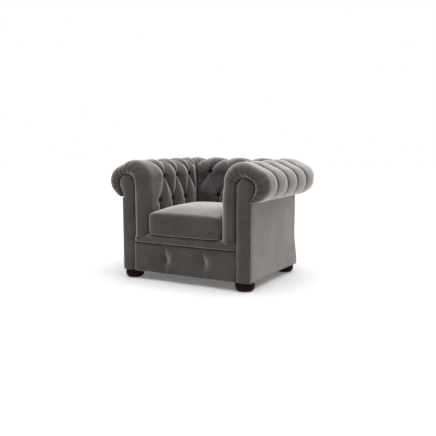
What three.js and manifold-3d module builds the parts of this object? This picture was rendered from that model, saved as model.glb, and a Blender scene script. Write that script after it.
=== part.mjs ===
// Chesterfield armchair: hardwood frame, sprung seat, diamond-tufted arms and back with
// rolled tops, padded scroll facings, loose seat cushion and turned bun feet.
// Millimetres, +Z up, the front of the chair faces -Y, left is -X.

import * as THREE from 'three';
import { mergeVertices } from 'three/addons/utils/BufferGeometryUtils.js';
import Module from 'manifold-3d';

const wasm = await Module();
wasm.setup();

// Clearances and cutting
const gap = 0.3;              // between pieces that touch
const mitreGap = 0.2;         // each pad stops this far short of the mitre
const overrun = 40;           // how far a cutting tool runs past what it cuts
const boltFit = 0.3;          // round the hanger bolts

// Covers and body
const bodyHalfWidth = 435;    // outside faces of the arms
const bodyFront = -300;       // front face of the woodwork
const bodyRear = 340;         // outside back face
const bodyBottom = 50;
const coverDepth = 11;        // outside panels with their wadding
const cornerRadius = 30;      // upright rear corners
const facingFront = -335;     // front of facings and border
const sideReturnDepth = 2.7;       // side cover where it turns on to the facing

// Seat
const borderTop = 226;
const lipTop = 280;
const lipFront = -343;
const deckTop = 280;
const padLift = 3;            // foot of the pads above the rails
const stuffing = 50;          // crown of a pad to the wood behind it

// Arm profile, measured outwards from the middle of the seat
const armThick = 195;         // inside face of an arm to its outside face
const armProfile = {
  inner: bodyHalfWidth - armThick, leanRise: 106, lean: 10,
  innerCircle: { radius: 115, height: 606 },
  outerCircle: { radius: 94, apart: 78, height: 593 },
  lowTuft: 472, highTuft: 618, crest: 12,
};

// Back profile, measured outwards from the middle of the side panels
const backThick = 95;
const backProfile = {
  inner: bodyRear - backThick, leanRise: 148, lean: 40,
  innerCircle: { radius: 101, height: 620 },
  outerCircle: { radius: 96, apart: 4, height: 595 },
  lowTuft: 476, highTuft: 632, crest: 10,
};

// Tufting
const armPitch = 148;
const armFirstTuft = -184;
const armLowTufts = 3;        // in the low row, before the one in the corner
const backPitch = 175;
const tuftDepth = 28;
const lowTuftDepth = 23;
const crestTuftDepth = 20;
const creaseDepth = 16;
const rollPleatDepth = 12;
const pleatEndDepth = 6;
const lumpHalfWidth = 64;     // from a crease to where the cover is full
const mitreCornerRadius = 100; // plan radius of the rolls at the rear corners
const mitreHighShift = 14;    // how far the corner tuft stands off the meeting profiles
const mitreCrestShift = 18;
const mitreEaseLength = 130;        // length over which a pad turns to the mitre

// Arm front
const bandEdge = 38;          // rounded front edge of the arm
const bandFront = -342;
const bandCrease = -318;
const bandBottom = 262;
const gatherCount = 11;
const gatherDepth = 4;

// Facing
const facingWide = 88.6;
const facingInset = 3.4;      // from the outside face of the arm
const facingHeadInset = 35;
const facingReturnDrop = 77;  // below the middle of the head, where it has run back to the column
const facingOuter = bodyHalfWidth - facingInset;
const facingInner = facingOuter - facingWide;
const facingHead = { out: bodyHalfWidth - facingHeadInset, height: 577, radius: 57 };
const facingPuff = 9;

// Border and lip
const borderTuft = 130;
const borderTuftHeight = 137;
const borderPleatDepth = 6;
const borderTuftDepth = 20;
const borderPuff = 6;
const borderEdge = 17;
const borderLump = 95;
const lipNose = 13;           // height of the nosing's fullest line above its seam
const lipTuck = 1.1;          // turn, in radians, from that line down to the seam

// Cushion
const cushionFront = -335;
const cushionHeight = 127;
const cushionCrown = 24;
const cushionCorner = 42;
const cushionDraw = 5;        // how far the sides pull in between the corners
const cushionGap = 0.6;

// Woodwork
const boardThick = 22;
const railThick = 25;
const postSize = 45;
const armBoardThick = 26;
const frameTop = 499;
const railLift = 14;          // top of the seat rails above the springs
const railBottom = 60;
const blockTop = 110;
const blockBottom = 52;
const blockLength = 85;
const sideRailTop = 160;
const tackRailWide = 26;
const tackRailHigh = 35;
const insidePanelThick = 3;
const formerThick = 9;

// Springs
const springCount = 5;
const springBayWidth = 90;
const springWire = 4;
const springSwing = 24;
const springBars = 9;
const springRise = 10;
const springDrop = 62;        // springs below the top of the deck
const stripThick = 3;
const stripHigh = 26;
const hessianThick = 3;
const dustCoverThick = 1.4;

// Feet
const footInset = 55;         // middle of a foot from the outside face of the arm
const footFrontInset = 17;    // bolt behind the front of the woodwork
const footRearInset = 40;
const footRadius = 57;
const footNeckRadius = 44;
const footBaseRadius = 35;
const footBaseLift = 1.2;
const boltRadius = 4;
const boltFoot = 30;          // length in the foot
const boltBlock = 44;         // length in the block
const glideRadius = 22;
const glideThick = 4;

// Finishes
const finishes = {
  velvet: { color: 0x6f6b69, roughness: 0.9, metalness: 0 },
  hardwood: { color: 0xb58f62, roughness: 0.75, metalness: 0 },
  darkWood: { color: 0x24100c, roughness: 0.35, metalness: 0 },
  steel: { color: 0x8c8f92, roughness: 0.4, metalness: 1 },
  hessian: { color: 0xa68c63, roughness: 1, metalness: 0 },
  lining: { color: 0x1d1d1f, roughness: 1, metalness: 0 },
  nylon: { color: 0xd9d7d0, roughness: 0.6, metalness: 0 },
};

// Places worked out from the sizes above
const woodOut = bodyHalfWidth - coverDepth;
const woodRear = bodyRear - coverDepth;
const armWood = armProfile.inner + stuffing;
const backWood = backProfile.inner + stuffing;
const armInside = armProfile.inner - cushionGap;
const backInside = backProfile.inner - cushionGap;
const armInnerLine = (armWood + woodOut) / 2;
const backInnerLine = (backWood + woodRear) / 2;
const boardBack = bodyFront + boardThick;
const boardUnder = frameTop - armBoardThick;
const springHeight = deckTop - springDrop;
const railTop = springHeight + railLift;
const padBottom = railTop + padLift;
const footRestTop = bodyBottom - gap;
const footOut = bodyHalfWidth - footInset;
const facingReturn = facingHead.height - facingReturnDrop;

const chair = new THREE.Group();
const axisX = new THREE.Vector3(1, 0, 0);
const axisY = new THREE.Vector3(0, 1, 0);
const axisZ = new THREE.Vector3(0, 0, 1);

function add(name, geometry, finish) {
  const mesh = new THREE.Mesh(geometry, new THREE.MeshStandardMaterial(finishes[finish]));
  mesh.name = name;
  chair.add(mesh);
  return mesh;
}

// A piece and its mirror image on the other arm
function addPair(name, geometry, finish) {
  add(`${name}_right`, geometry, finish);
  add(`${name}_left`, mirrored(geometry), finish);
}

// Mirror image in the middle plane of the chair, faces still pointing out
function mirrored(geometry) {
  const copy = geometry.clone().scale(-1, 1, 1);
  if (!copy.index) {
    copy.setIndex([...Array(copy.attributes.position.count).keys()]);
  }
  const index = copy.index.array;
  for (let i = 0; i < index.length; i += 3) {
    [index[i], index[i + 1]] = [index[i + 1], index[i]];
  }
  return copy;
}

// Solid helpers
function solidOf(geometry) {
  const bare = geometry.clone();
  bare.deleteAttribute('normal');
  bare.deleteAttribute('uv');
  const merged = mergeVertices(bare);
  return new wasm.Manifold(new wasm.Mesh({
    numProp: 3,
    vertProperties: new Float32Array(merged.attributes.position.array),
    triVerts: new Uint32Array(merged.index.array),
  }));
}

function geometryOf(solid) {
  const mesh = solid.getMesh();
  const geometry = new THREE.BufferGeometry();
  geometry.setAttribute('position', new THREE.BufferAttribute(mesh.vertProperties, 3));
  geometry.setIndex(new THREE.BufferAttribute(mesh.triVerts, 1));
  geometry.computeVertexNormals();
  return geometry;
}

function cut(geometry, ...tools) {
  let solid = solidOf(geometry);
  for (const tool of tools) {
    solid = solid.subtract(solidOf(tool));
  }
  return geometryOf(solid);
}

function join(first, ...others) {
  let solid = solidOf(first);
  for (const other of others) {
    solid = solid.add(solidOf(other));
  }
  return geometryOf(solid);
}

function block(x0, x1, y0, y1, z0, z1) {
  const box = new THREE.BoxGeometry(x1 - x0, y1 - y0, z1 - z0);
  return box.translate((x0 + x1) / 2, (y0 + y1) / 2, (z0 + z1) / 2);
}

function outline(points) {
  return new THREE.Shape(points.map(([a, b]) => new THREE.Vector2(a, b)));
}

// A section drawn in X and Z, run along Y
function runAlongY(points, y0, y1, bevel = {}) {
  const settings = { depth: y1 - y0, bevelEnabled: false, ...bevel };
  const geometry = new THREE.ExtrudeGeometry(outline(points), settings);
  return geometry.rotateX(Math.PI / 2).translate(0, y1, 0);
}

// A section drawn in Y and Z, run along X
function runAlongX(points, x0, x1) {
  const geometry = new THREE.ExtrudeGeometry(outline(points), { depth: x1 - x0, bevelEnabled: false });
  const turn = new THREE.Matrix4().makeBasis(axisY, axisZ, axisX);
  return geometry.applyMatrix4(turn).translate(x0, 0, 0);
}

// A plan drawn in X and Y, raised along Z
function raise(points, z0, z1, holes = []) {
  const shape = outline(points);
  shape.holes = holes;
  const geometry = new THREE.ExtrudeGeometry(shape, { depth: z1 - z0, bevelEnabled: false });
  return geometry.translate(0, 0, z0);
}

function roundHole(x, y, radius, sides = 12) {
  const path = new THREE.Path();
  for (let i = 0; i <= sides; i += 1) {
    const turn = -2 * Math.PI * i / sides;
    const at = [x + radius * Math.cos(turn), y + radius * Math.sin(turn)];
    if (i === 0) path.moveTo(...at);
    else path.lineTo(...at);
  }
  return path;
}

function arc(centreA, centreB, radius, from, to, steps) {
  const points = [];
  for (let i = 0; i <= steps; i += 1) {
    const turn = from + (to - from) * i / steps;
    points.push([centreA + radius * Math.cos(turn), centreB + radius * Math.sin(turn)]);
  }
  return points;
}

const mix = (a, b, share) => a + (b - a) * share;
const smooth = (share) => share * share * (3 - 2 * share);
const closer = (share) => 1 - (1 - share) ** 1.5;   // steps that shorten towards the end
const hair = 0.01;            // far below any size of the chair
const clamp01 = (value) => Math.min(1, Math.max(0, value));

// A closed solid through rings of equal point counts. Each end is filled with a fan of
// triangles, from a point of the ring (counted from its end) or from its middle.
function loft(rings, hub = null) {
  const count = rings[0].length;
  const points = rings.flat();
  const index = [];
  for (let i = 0; i < rings.length - 1; i += 1) {
    for (let j = 0; j < count; j += 1) {
      const k = (j + 1) % count;
      const a = i * count + j;
      const b = i * count + k;
      index.push(a, b, b + count, a, b + count, a + count);
    }
  }
  const lastStart = (rings.length - 1) * count;
  for (const [ring, start, turned] of [[rings[0], 0, true], [rings.at(-1), lastStart, false]]) {
    let middle = start + count - (hub ?? 0);
    if (hub === null) {
      middle = points.length;
      const centre = ring.reduce((sum, p) => sum.add(p), new THREE.Vector3()).divideScalar(count);
      points.push(centre);
    }
    for (let j = 0; j < count; j += 1) {
      const a = start + j;
      const b = start + (j + 1) % count;
      if (a !== middle && b !== middle) index.push(middle, turned ? b : a, turned ? a : b);
    }
  }
  const geometry = new THREE.BufferGeometry();
  const positions = points.flatMap((p) => [p.x, p.y, p.z]);
  geometry.setAttribute('position', new THREE.Float32BufferAttribute(positions, 3));
  geometry.setIndex(index);
  return outward(geometry);
}

// Turns all faces over if the solid is inside out
function outward(geometry) {
  const position = geometry.attributes.position;
  const index = geometry.index.array;
  const [a, b, c] = [new THREE.Vector3(), new THREE.Vector3(), new THREE.Vector3()];
  let volume = 0;
  for (let i = 0; i < index.length; i += 3) {
    a.fromBufferAttribute(position, index[i]);
    b.fromBufferAttribute(position, index[i + 1]);
    c.fromBufferAttribute(position, index[i + 2]);
    volume += a.dot(b.cross(c));
  }
  if (volume < 0) {
    for (let i = 0; i < index.length; i += 3) {
      [index[i], index[i + 1]] = [index[i + 1], index[i]];
    }
  }
  return geometry;
}

// Upholstery profiles: up the inside face, over two circles joined by their common
// tangent, and flat underneath back to the outside panel. Returns a function of the
// length along the cover that gives the place and the outward direction.
const pathSteps = 48;
function profilePath(profile, underEnd) {
  const { inner, leanRise, lean, innerCircle, outerCircle } = profile;
  const bend = innerCircle.height - leanRise;
  const first = [inner + lean + innerCircle.radius, innerCircle.height];
  const second = [first[0] + outerCircle.apart, outerCircle.height];
  const away = Math.atan2(second[1] - first[1], second[0] - first[0]);
  const between = Math.hypot(second[0] - first[0], second[1] - first[1]);
  const tangent = away + Math.acos((innerCircle.radius - outerCircle.radius) / between);
  const points = [[inner, padBottom]];
  const leanSteps = 12;
  for (let i = 0; i <= leanSteps; i += 1) {
    const share = i / leanSteps;
    points.push([inner + lean * smooth(share), mix(bend, innerCircle.height, share)]);
  }
  points.push(...arc(...first, innerCircle.radius, Math.PI, tangent, pathSteps).slice(1));
  points.push(...arc(...second, outerCircle.radius, tangent, -Math.PI / 2, pathSteps));
  points.push([underEnd, outerCircle.height - outerCircle.radius]);
  const lengths = [0];
  for (let i = 1; i < points.length; i += 1) {
    const step = Math.hypot(points[i][0] - points[i - 1][0], points[i][1] - points[i - 1][1]);
    lengths.push(lengths[i - 1] + step);
  }
  const total = lengths.at(-1);
  const at = (length) => {
    let i = lengths.findIndex((l, n) => n > 0 && l >= length - hair * hair);
    if (i < 0) i = points.length - 1;
    const span = lengths[i] - lengths[i - 1];
    const share = clamp01((length - lengths[i - 1]) / span);
    const [o0, z0] = points[i - 1];
    const [o1, z1] = points[i];
    return { out: mix(o0, o1, share), z: mix(z0, z1, share),
      nOut: -(z1 - z0) / span, nUp: (o1 - o0) / span };
  };
  const lengthWhere = (test) => lengths[points.findIndex(test)];
  const upTo = (height) => height - padBottom;
  const crestOut = first[0];
  const keys = {
    low: upTo(profile.lowTuft),
    high: lengthWhere(([, z]) => z >= profile.highTuft),
    crest: lengthWhere(([o]) => o >= crestOut) + profile.crest,
    outer: lengthWhere(([o, z]) => o >= second[0] && z <= second[1] + 1),
    under: lengthWhere(([, z], n) => n > 60 && z <= second[1] - outerCircle.radius + hair),
    end: total,
  };
  return { at, keys, points };
}

const armPath = profilePath(armProfile, armInnerLine);
const backPath = profilePath(backProfile, backInnerLine);

// Rows of the cover: the same number of rows between the same keys on arm and back
const rowSteps = [4, 6, 6, 4, 4, 1];
function rowLengths(path) {
  const { low, high, crest, outer, under, end } = path.keys;
  const stops = [0, low, high, crest, outer, under, end];
  const lengths = [0];
  rowSteps.forEach((steps, n) => {
    for (let i = 1; i <= steps; i += 1) lengths.push(mix(stops[n], stops[n + 1], i / steps));
  });
  return lengths;
}
const armRows = rowLengths(armPath);
const backRows = rowLengths(backPath);
const rowKeys = rowSteps.reduce((sum, n) => [...sum, sum.at(-1) + n], [0]);
const [, lowRow, highRow, crestRow, , underRow] = rowKeys;

// Value at a row, given at the key rows and eased between them
function alongRows(values, row) {
  for (let n = 0; n < rowKeys.length - 1; n += 1) {
    if (row <= rowKeys[n + 1]) {
      return mix(values[n], values[n + 1], (row - rowKeys[n]) / (rowKeys[n + 1] - rowKeys[n]));
    }
  }
  return values.at(-1);
}

// The mitre between arm and back, one point to a row: where the two profiles meet,
// drawn in at the rear corner, where the rolls turn together
const cornerDraw = 1 - Math.SQRT1_2;
const mitreRadii = [0, 0, 0, 0, mitreCornerRadius, cornerRadius, 0];
const mitreShiftsOut = [0, 0, mitreHighShift, mitreCrestShift, 0, 0, 0];
const mitreShiftsBack = [0, 0, -mitreHighShift, mitreCrestShift, 0, 0, 0];
const mitreDepths = [pleatEndDepth, lowTuftDepth, tuftDepth, crestTuftDepth, rollPleatDepth, 0, 0];
const mitre = armRows.map((length, row) => {
  const arm = armPath.at(length);
  const back = backPath.at(backRows[row]);
  const draw = cornerDraw * alongRows(mitreRadii, row);
  const normal = new THREE.Vector3(arm.nOut, back.nOut, (arm.nUp + back.nUp) / 2).normalize();
  const place = new THREE.Vector3(arm.out - draw + alongRows(mitreShiftsOut, row),
    back.out - draw + alongRows(mitreShiftsBack, row), (arm.z + back.z) / 2);
  return { place, normal, depth: alongRows(mitreDepths, row) };
});
const mitreRing = mitre.map(({ place, normal, depth }) => place.clone().addScaledVector(normal, -depth));

// Depth of the cover below its full form: each crease is a valley with round shoulders,
// deepest at its tufts
function creaseField(creases) {
  const power = 5;
  return (run, length) => {
    let sum = 0;
    for (const { from, to, ends, middle } of creases) {
      const [dx, dy] = [to[0] - from[0], to[1] - from[1]];
      const share = clamp01(((run - from[0]) * dx + (length - from[1]) * dy) / (dx * dx + dy * dy));
      const away = Math.hypot(run - from[0] - dx * share, length - from[1] - dy * share);
      const near = 1 - Math.min(1, away / lumpHalfWidth);
      if (near > 0) {
        const straight = mix(ends[0], ends[1], share);
        const sag = (straight - middle) * (1 - Math.abs(2 * share - 1) ** 2);
        const depth = middle === null ? straight : straight - sag;
        sum += (depth * (1 - Math.sqrt(1 - near * near))) ** power;
      }
    }
    return sum ** (1 / power);
  };
}

const crease = (from, to, ends, middle = null) => ({ from, to, ends, middle });

// Tufts and creases of one arm, the run measured along Y
function armCreases() {
  const { low, high, crest, outer, under } = armPath.keys;
  const creases = [];
  for (let k = 0; k <= armLowTufts; k += 1) {
    const y = armFirstTuft + armPitch * k;
    const half = y + armPitch / 2;
    if (k < armLowTufts) {
      creases.push(crease([y, low], [y, 0], [lowTuftDepth, pleatEndDepth]));
      creases.push(crease([y, low], [half, high], [lowTuftDepth, tuftDepth], creaseDepth));
      creases.push(crease([half, high], [y, crest], [tuftDepth, crestTuftDepth], creaseDepth));
      creases.push(crease([half, high], [y + armPitch, crest], [tuftDepth, crestTuftDepth], creaseDepth));
      creases.push(crease([half, high], [y + armPitch, low], [tuftDepth, lowTuftDepth], creaseDepth));
    }
    creases.push(crease([y, crest], [y, outer], [crestTuftDepth, rollPleatDepth]));
    creases.push(crease([y, outer], [y, under], [rollPleatDepth, 0]));
  }
  const lastCrest = armFirstTuft + armPitch * armLowTufts;
  const cornerTuft = [mitreRing[highRow].y, high];
  creases.push(crease(cornerTuft, [lastCrest, crest], [tuftDepth, crestTuftDepth], creaseDepth));
  return creases;
}

// Tufts and creases of the back, the run measured along X from the middle
function backCreases() {
  const { low, high, crest, outer, under } = backPath.keys;
  const creases = [];
  const half = backPitch / 2;
  for (const side of [-1, 1]) {
    const corner = [side * mitreRing[lowRow].x, low];
    const cornerHigh = [side * mitreRing[highRow].x, high];
    const lowAt = [side * half, low];
    const highAt = [side * backPitch, high];
    const crestNear = [side * half, crest];
    const crestFar = [side * (half + backPitch), crest];
    const across = [lowTuftDepth, tuftDepth];
    const rising = [tuftDepth, crestTuftDepth];
    creases.push(crease(lowAt, [side * half, 0], [lowTuftDepth, pleatEndDepth]));
    creases.push(crease(lowAt, [0, high], across, creaseDepth));
    creases.push(crease(lowAt, highAt, across, creaseDepth));
    creases.push(crease(corner, highAt, across, creaseDepth));
    creases.push(crease([0, high], crestNear, rising, creaseDepth));
    creases.push(crease(highAt, crestNear, rising, creaseDepth));
    creases.push(crease(highAt, crestFar, rising, creaseDepth));
    creases.push(crease(cornerHigh, crestFar, rising, creaseDepth));
    for (const at of [crestNear, crestFar]) {
      creases.push(crease(at, [at[0], outer], [crestTuftDepth, rollPleatDepth]));
      creases.push(crease([at[0], outer], [at[0], under], [rollPleatDepth, 0]));
    }
  }
  return creases;
}

// Mitre depth reaches into a pad over the width of a lump
function towardMitre(depth, row, away) {
  const near = 1 - clamp01(away / lumpHalfWidth);
  const seam = mitre[row].depth * (1 - Math.sqrt(1 - near * near));
  return near === 1 ? mitre[row].depth : Math.max(depth * (1 - near ** 4), seam);
}

const armField = creaseField(armCreases());
const backField = creaseField(backCreases());

// Point of an arm's cover at a run along Y, on a row
function armPoint(run, row) {
  const spot = armPath.at(armRows[row]);
  const end = mitre[row];
  const away = end.place.y - run;
  const turn = clamp01(1 - away / mitreEaseLength) ** 2;
  const depth = towardMitre(armField(run, armRows[row]), row, away);
  const normal = new THREE.Vector3(spot.nOut, 0, spot.nUp).lerp(end.normal, turn).normalize();
  const place = new THREE.Vector3(mix(spot.out, end.place.x, turn), run, mix(spot.z, end.place.z, turn));
  return place.addScaledVector(normal, -depth);
}

// Point of the back's cover at a run along X, on a row
function backPoint(run, row) {
  const spot = backPath.at(backRows[row]);
  const end = mitre[row];
  const side = Math.sign(run) || 1;
  const away = end.place.x - Math.abs(run);
  const turn = clamp01(1 - away / mitreEaseLength) ** 2;
  const depth = towardMitre(backField(run, backRows[row]), row, away);
  const normal = new THREE.Vector3(0, spot.nOut, spot.nUp);
  const seamNormal = new THREE.Vector3(side * end.normal.x, end.normal.y, end.normal.z);
  normal.lerp(seamNormal, turn).normalize();
  const place = new THREE.Vector3(run, mix(spot.out, end.place.y, turn), mix(spot.z, end.place.z, turn));
  return place.addScaledVector(normal, -depth);
}

// Facing outline: a column with a round head that hangs over on the outside
function facingOutline(clear, bottom) {
  const { out, height, radius } = facingHead;
  const headEnd = -Math.PI / 5;
  const head = arc(out, height, radius + clear, Math.PI, headEnd, 16);
  const [endX, endZ] = head.at(-1);
  const column = facingOuter + clear;
  const returnSteps = 4;
  const points = [[facingInner - clear, bottom], ...head];
  for (let i = 1; i <= returnSteps; i += 1) {
    const share = i / returnSteps;
    points.push([mix(endX, column, smooth(share)), mix(endZ, facingReturn, share)]);
  }
  points.push([column, bottom]);
  return points;
}

// Where each row of the arm cover ends at the facing: level rows up the column, then
// shared out evenly round the head
function facingTargets() {
  const edge = facingOutline(gap, bandBottom).slice(0, -1);
  const lengths = [0];
  for (let i = 1; i < edge.length; i += 1) {
    const step = Math.hypot(edge[i][0] - edge[i - 1][0], edge[i][1] - edge[i - 1][1]);
    lengths.push(lengths[i - 1] + step);
  }
  const columnLength = lengths[1];
  const coverColumn = facingHead.height - padBottom;
  return armRows.map((length) => {
    const share = length <= coverColumn
      ? length / coverColumn * columnLength
      : mix(columnLength, lengths.at(-1), (length - coverColumn) / (armPath.keys.under - coverColumn));
    const target = Math.min(share, lengths.at(-1));
    let i = lengths.findIndex((l, n) => n > 0 && l >= target - hair * hair);
    if (i < 0) i = edge.length - 1;
    const part = clamp01((target - lengths[i - 1]) / (lengths[i] - lengths[i - 1]));
    return [mix(edge[i - 1][0], edge[i][0], part), mix(edge[i - 1][1], edge[i][1], part)];
  });
}

// Pleated band over the arm front: from the full cover (reach 0) round the front edge
// to the crease beside the facing (reach 1)
const bandTargets = facingTargets();
const liftShare = 0.3;        // of the band's width, over which its foot rises on to the lip
function bandPoint(reach, row) {
  const spot = armPath.at(armRows[row]);
  const [targetX, targetZ] = bandTargets[row];
  const width = Math.hypot(targetX - spot.out, targetZ - spot.z);
  const inset = width * reach;
  const edgeShare = clamp01(inset / bandEdge);
  const bandBack = bandFront + bandEdge;
  const rounded = bandBack - bandEdge * Math.sqrt(1 - (1 - edgeShare) ** 2);
  const falling = clamp01((inset - bandEdge) / (width - bandEdge)) ** 2;
  const headShare = clamp01((armRows[row] - armPath.keys.high) / (armPath.keys.under - armPath.keys.high));
  const onHead = armRows[row] > armPath.keys.high ? 1 : 0;
  const wave = 0.5 - 0.5 * Math.cos(2 * Math.PI * gatherCount * headShare);
  const gather = onHead * gatherDepth * reach * wave;
  const y = mix(rounded, bandCrease, falling) + gather * (1 - falling);
  const column = 1 - clamp01((spot.z - padBottom) / (facingHead.height - padBottom));
  const lift = armRows[row] > armPath.keys.high ? 0 : (bandBottom - padBottom) * column;
  const z = mix(spot.z + lift * smooth(clamp01(reach / liftShare)), targetZ, reach);
  return new THREE.Vector3(mix(spot.out, targetX, reach), y, z);
}

// Space that the woodwork takes behind the pads, grown by the gap
function formerOutline(path, depth, inner, wood) {
  const points = [[inner, frameTop]];
  const { low, under } = path.keys;
  const steps = 26;
  for (let i = 0; i <= steps; i += 1) {
    const spot = path.at(mix(low, under, i / steps));
    const z = spot.z - spot.nUp * depth;
    if (z > frameTop + stuffing / 3) points.push([Math.max(inner, spot.out - spot.nOut * depth), z]);
  }
  points.push([wood, points.at(-1)[1]]);
  points.push([wood, frameTop]);
  return points;
}

function woodSpace() {
  const low = padBottom - overrun;
  const top = frameTop + gap;
  const rear = woodRear + gap;
  const side = block(armWood - gap, woodOut + gap, bodyFront - gap, rear, low, top);
  const back = block(-woodOut, woodOut, backWood - gap, rear, low, top);
  const armFormer = formerOutline(armPath, stuffing - gap, armWood - gap, woodOut + gap);
  const backFormer = formerOutline(backPath, stuffing - gap, backWood - gap, woodRear + gap);
  const armRoll = runAlongY(armFormer, bodyFront - gap, backWood);
  const backRoll = runAlongX(backFormer, -armWood, armWood);
  return [side, mirrored(side), back, armRoll, mirrored(armRoll), backRoll];
}

// Nosing over the front of the seat: an oval section, drawn in at its seam above the border
function lipSection(clear) {
  const back = bodyFront;
  const seam = borderTop + gap;
  const points = [[back, seam - clear]];
  const steps = 10;
  for (let i = 0; i <= steps; i += 1) {
    const turn = mix(-lipTuck, Math.PI / 2, i / steps);
    const bulge = Math.cos(turn) ** (2 / 3);
    const lower = turn < 0;
    const high = seam + lipNose * (1 + Math.sin(turn) / Math.sin(lipTuck));
    const z = lower ? high : mix(seam + lipNose, lipTop, Math.sin(turn));
    points.push([mix(back, lipFront, bulge) - clear, z + (lower ? -clear : clear)]);
  }
  return points;
}

// Arm pads: one cover from the seat up the inside, over the roll and round the front
function armPad() {
  const rings = [];
  const closing = (y) => [new THREE.Vector3(armInnerLine, y, padBottom)];
  for (const reach of [1, 0.75, 0.5, 0.3, 0.12]) {
    const ring = armRows.map((_, row) => bandPoint(reach, row));
    const front = Math.min(bandCrease, bodyFront - gap);
    rings.push([...ring.slice(0, underRow + 1), ...lastPoints(ring[underRow]), ...closing(front)]);
  }
  const stations = [];
  const start = bandFront + bandEdge;
  const fineStep = armPitch / 6;
  const firstSteps = 5;
  for (let i = 0; i < firstSteps; i += 1) stations.push(mix(start, armFirstTuft, i / firstSteps));
  const evenEnd = armFirstTuft + armPitch * (armLowTufts - 1 / 2);
  const evenSteps = Math.round((evenEnd - armFirstTuft) / fineStep);
  for (let i = 0; i < evenSteps; i += 1) stations.push(mix(armFirstTuft, evenEnd, i / evenSteps));
  for (const y of stations) {
    rings.push([...armRows.map((_, row) => armPoint(y, row)), ...closing(y)]);
  }
  const endSteps = 9;
  const splitStep = 3;
  const lastTuft = armFirstTuft + armPitch * armLowTufts;
  for (let i = 0; i <= endSteps; i += 1) {
    const ring = armRows.map((_, row) => {
      if (i === endSteps) return mitreRing[row].clone();
      const goal = mitre[row].place.y;
      const split = mix(mix(evenEnd, goal, splitStep / endSteps), lastTuft,
        clamp01((row - highRow) / (crestRow - highRow)));
      const y = i <= splitStep
        ? mix(evenEnd, split, i / splitStep)
        : mix(split, goal, closer((i - splitStep) / (endSteps - splitStep)));
      return armPoint(y, row);
    });
    const closingY = mix(evenEnd, backInnerLine, i / endSteps);
    rings.push([...ring, ...closing(closingY)]);
  }
  for (const point of rings.at(-1)) point.y -= mitreGap;
  const body = loft(rings, 2);
  const facing = runAlongY(facingOutline(gap, padBottom - overrun), bodyFront - overrun * 2, bodyFront);
  const lip = runAlongX(lipSection(gap), 0, facingInner);
  return cut(body, ...woodSpace(), facing, lip);
}

// Underside of the band, from its last pleat straight back under the roll
function lastPoints(edge) {
  return armRows.slice(underRow + 1).map((_, n, list) => {
    const share = (n + 1) / list.length;
    return new THREE.Vector3(mix(edge.x, armInnerLine, share), edge.y, edge.z);
  });
}

// Back pad between the two mitres
function backPad() {
  const stations = [];
  const fineSteps = 6;
  const endSteps = 9;
  const count = endSteps + 2 * fineSteps + endSteps;
  const evenEnd = backPitch;
  for (let i = 0; i <= count; i += 1) {
    const ring = backRows.map((_, row) => {
      const goal = mitre[row].place.x;
      const crestFar = backPitch * 3 / 2;
      const splitStep = 3;
      const split = mix(mix(evenEnd, goal, splitStep / endSteps), crestFar,
        clamp01((row - highRow) / (crestRow - highRow)));
      const step = Math.abs(i - count / 2) - fineSteps;
      const side = Math.sign(i - count / 2);
      if (i === 0 || i === count) {
        const seam = mitreRing[row];
        return new THREE.Vector3(side * (seam.x - mitreGap), seam.y, seam.z);
      }
      if (step <= 0) return backPoint((i - count / 2) / fineSteps * evenEnd, row);
      const x = step <= splitStep
        ? mix(evenEnd, split, step / splitStep)
        : mix(split, goal, closer((step - splitStep) / (endSteps - splitStep)));
      return backPoint(side * x, row);
    });
    const share = (i - count / 2) / (count / 2);
    const closingX = share * (armInnerLine - mitreGap);
    stations.push([...ring, new THREE.Vector3(closingX, backInnerLine, padBottom)]);
  }
  const body = loft(stations, 2);
  return cut(body, ...woodSpace());
}

// Facing: a flat board of stuffing with a soft rounded edge
function facing() {
  const bevel = {
    bevelEnabled: true, bevelThickness: facingPuff, bevelSize: facingPuff,
    bevelOffset: -facingPuff, bevelSegments: 3,
  };
  const front = facingFront + facingPuff;
  const padded = runAlongY(facingOutline(0, bodyBottom), front, bodyFront + facingPuff, bevel);
  const behind = block(0, bodyHalfWidth * 2, bodyFront - gap, bodyFront + overrun, 0, frameTop * 2);
  return cut(padded, behind);
}

// Front border with two sewn tufts and the pleats above and below them
function frontBorder() {
  const half = facingInner - gap;
  const low = bodyBottom + gap;
  const columns = 36;
  const heights = 10;
  const rings = [];
  for (let i = 0; i <= columns; i += 1) {
    const x = mix(-half, half, i / columns);
    const ring = [];
    for (let j = 0; j <= heights; j += 1) {
      const z = mix(low, borderTop, j / heights);
      const rise = Math.sin(Math.PI * j / heights) ** (1 / 2);
      const edge = Math.min(1, (half - Math.abs(x)) / borderEdge);
      const away = Math.abs(Math.abs(x) - borderTuft);
      const pleat = borderPleatDepth * Math.max(0, 1 - away / borderLump) ** 4;
      const fromTuft = Math.hypot(away, z - borderTuftHeight);
      const tuft = borderTuftDepth * Math.max(0, 1 - fromTuft / borderLump) ** 3;
      const y = facingFront - borderPuff * rise * Math.sqrt(edge) + pleat + tuft;
      ring.push(new THREE.Vector3(x, y, z));
    }
    ring.push(new THREE.Vector3(x, bodyFront - gap, borderTop));
    ring.push(new THREE.Vector3(x, bodyFront - gap, low));
    rings.push(ring);
  }
  return loft(rings, 2);
}

// Lip: the nosing in front of the seat, and its flap over the front rail
function seatLip() {
  const half = facingInner - gap;
  const front = runAlongX(lipSection(0), -half, half);
  const flapBack = boardBack + tackRailWide / 2;
  const flap = block(-armInside, armInside, bodyFront - gap, flapBack, railTop + gap, lipTop);
  const faces = block(-half, half, bodyFront - gap, bodyFront + overrun,
    borderTop - overrun, lipTop + overrun);
  return join(cut(front, faces), flap);
}

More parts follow.
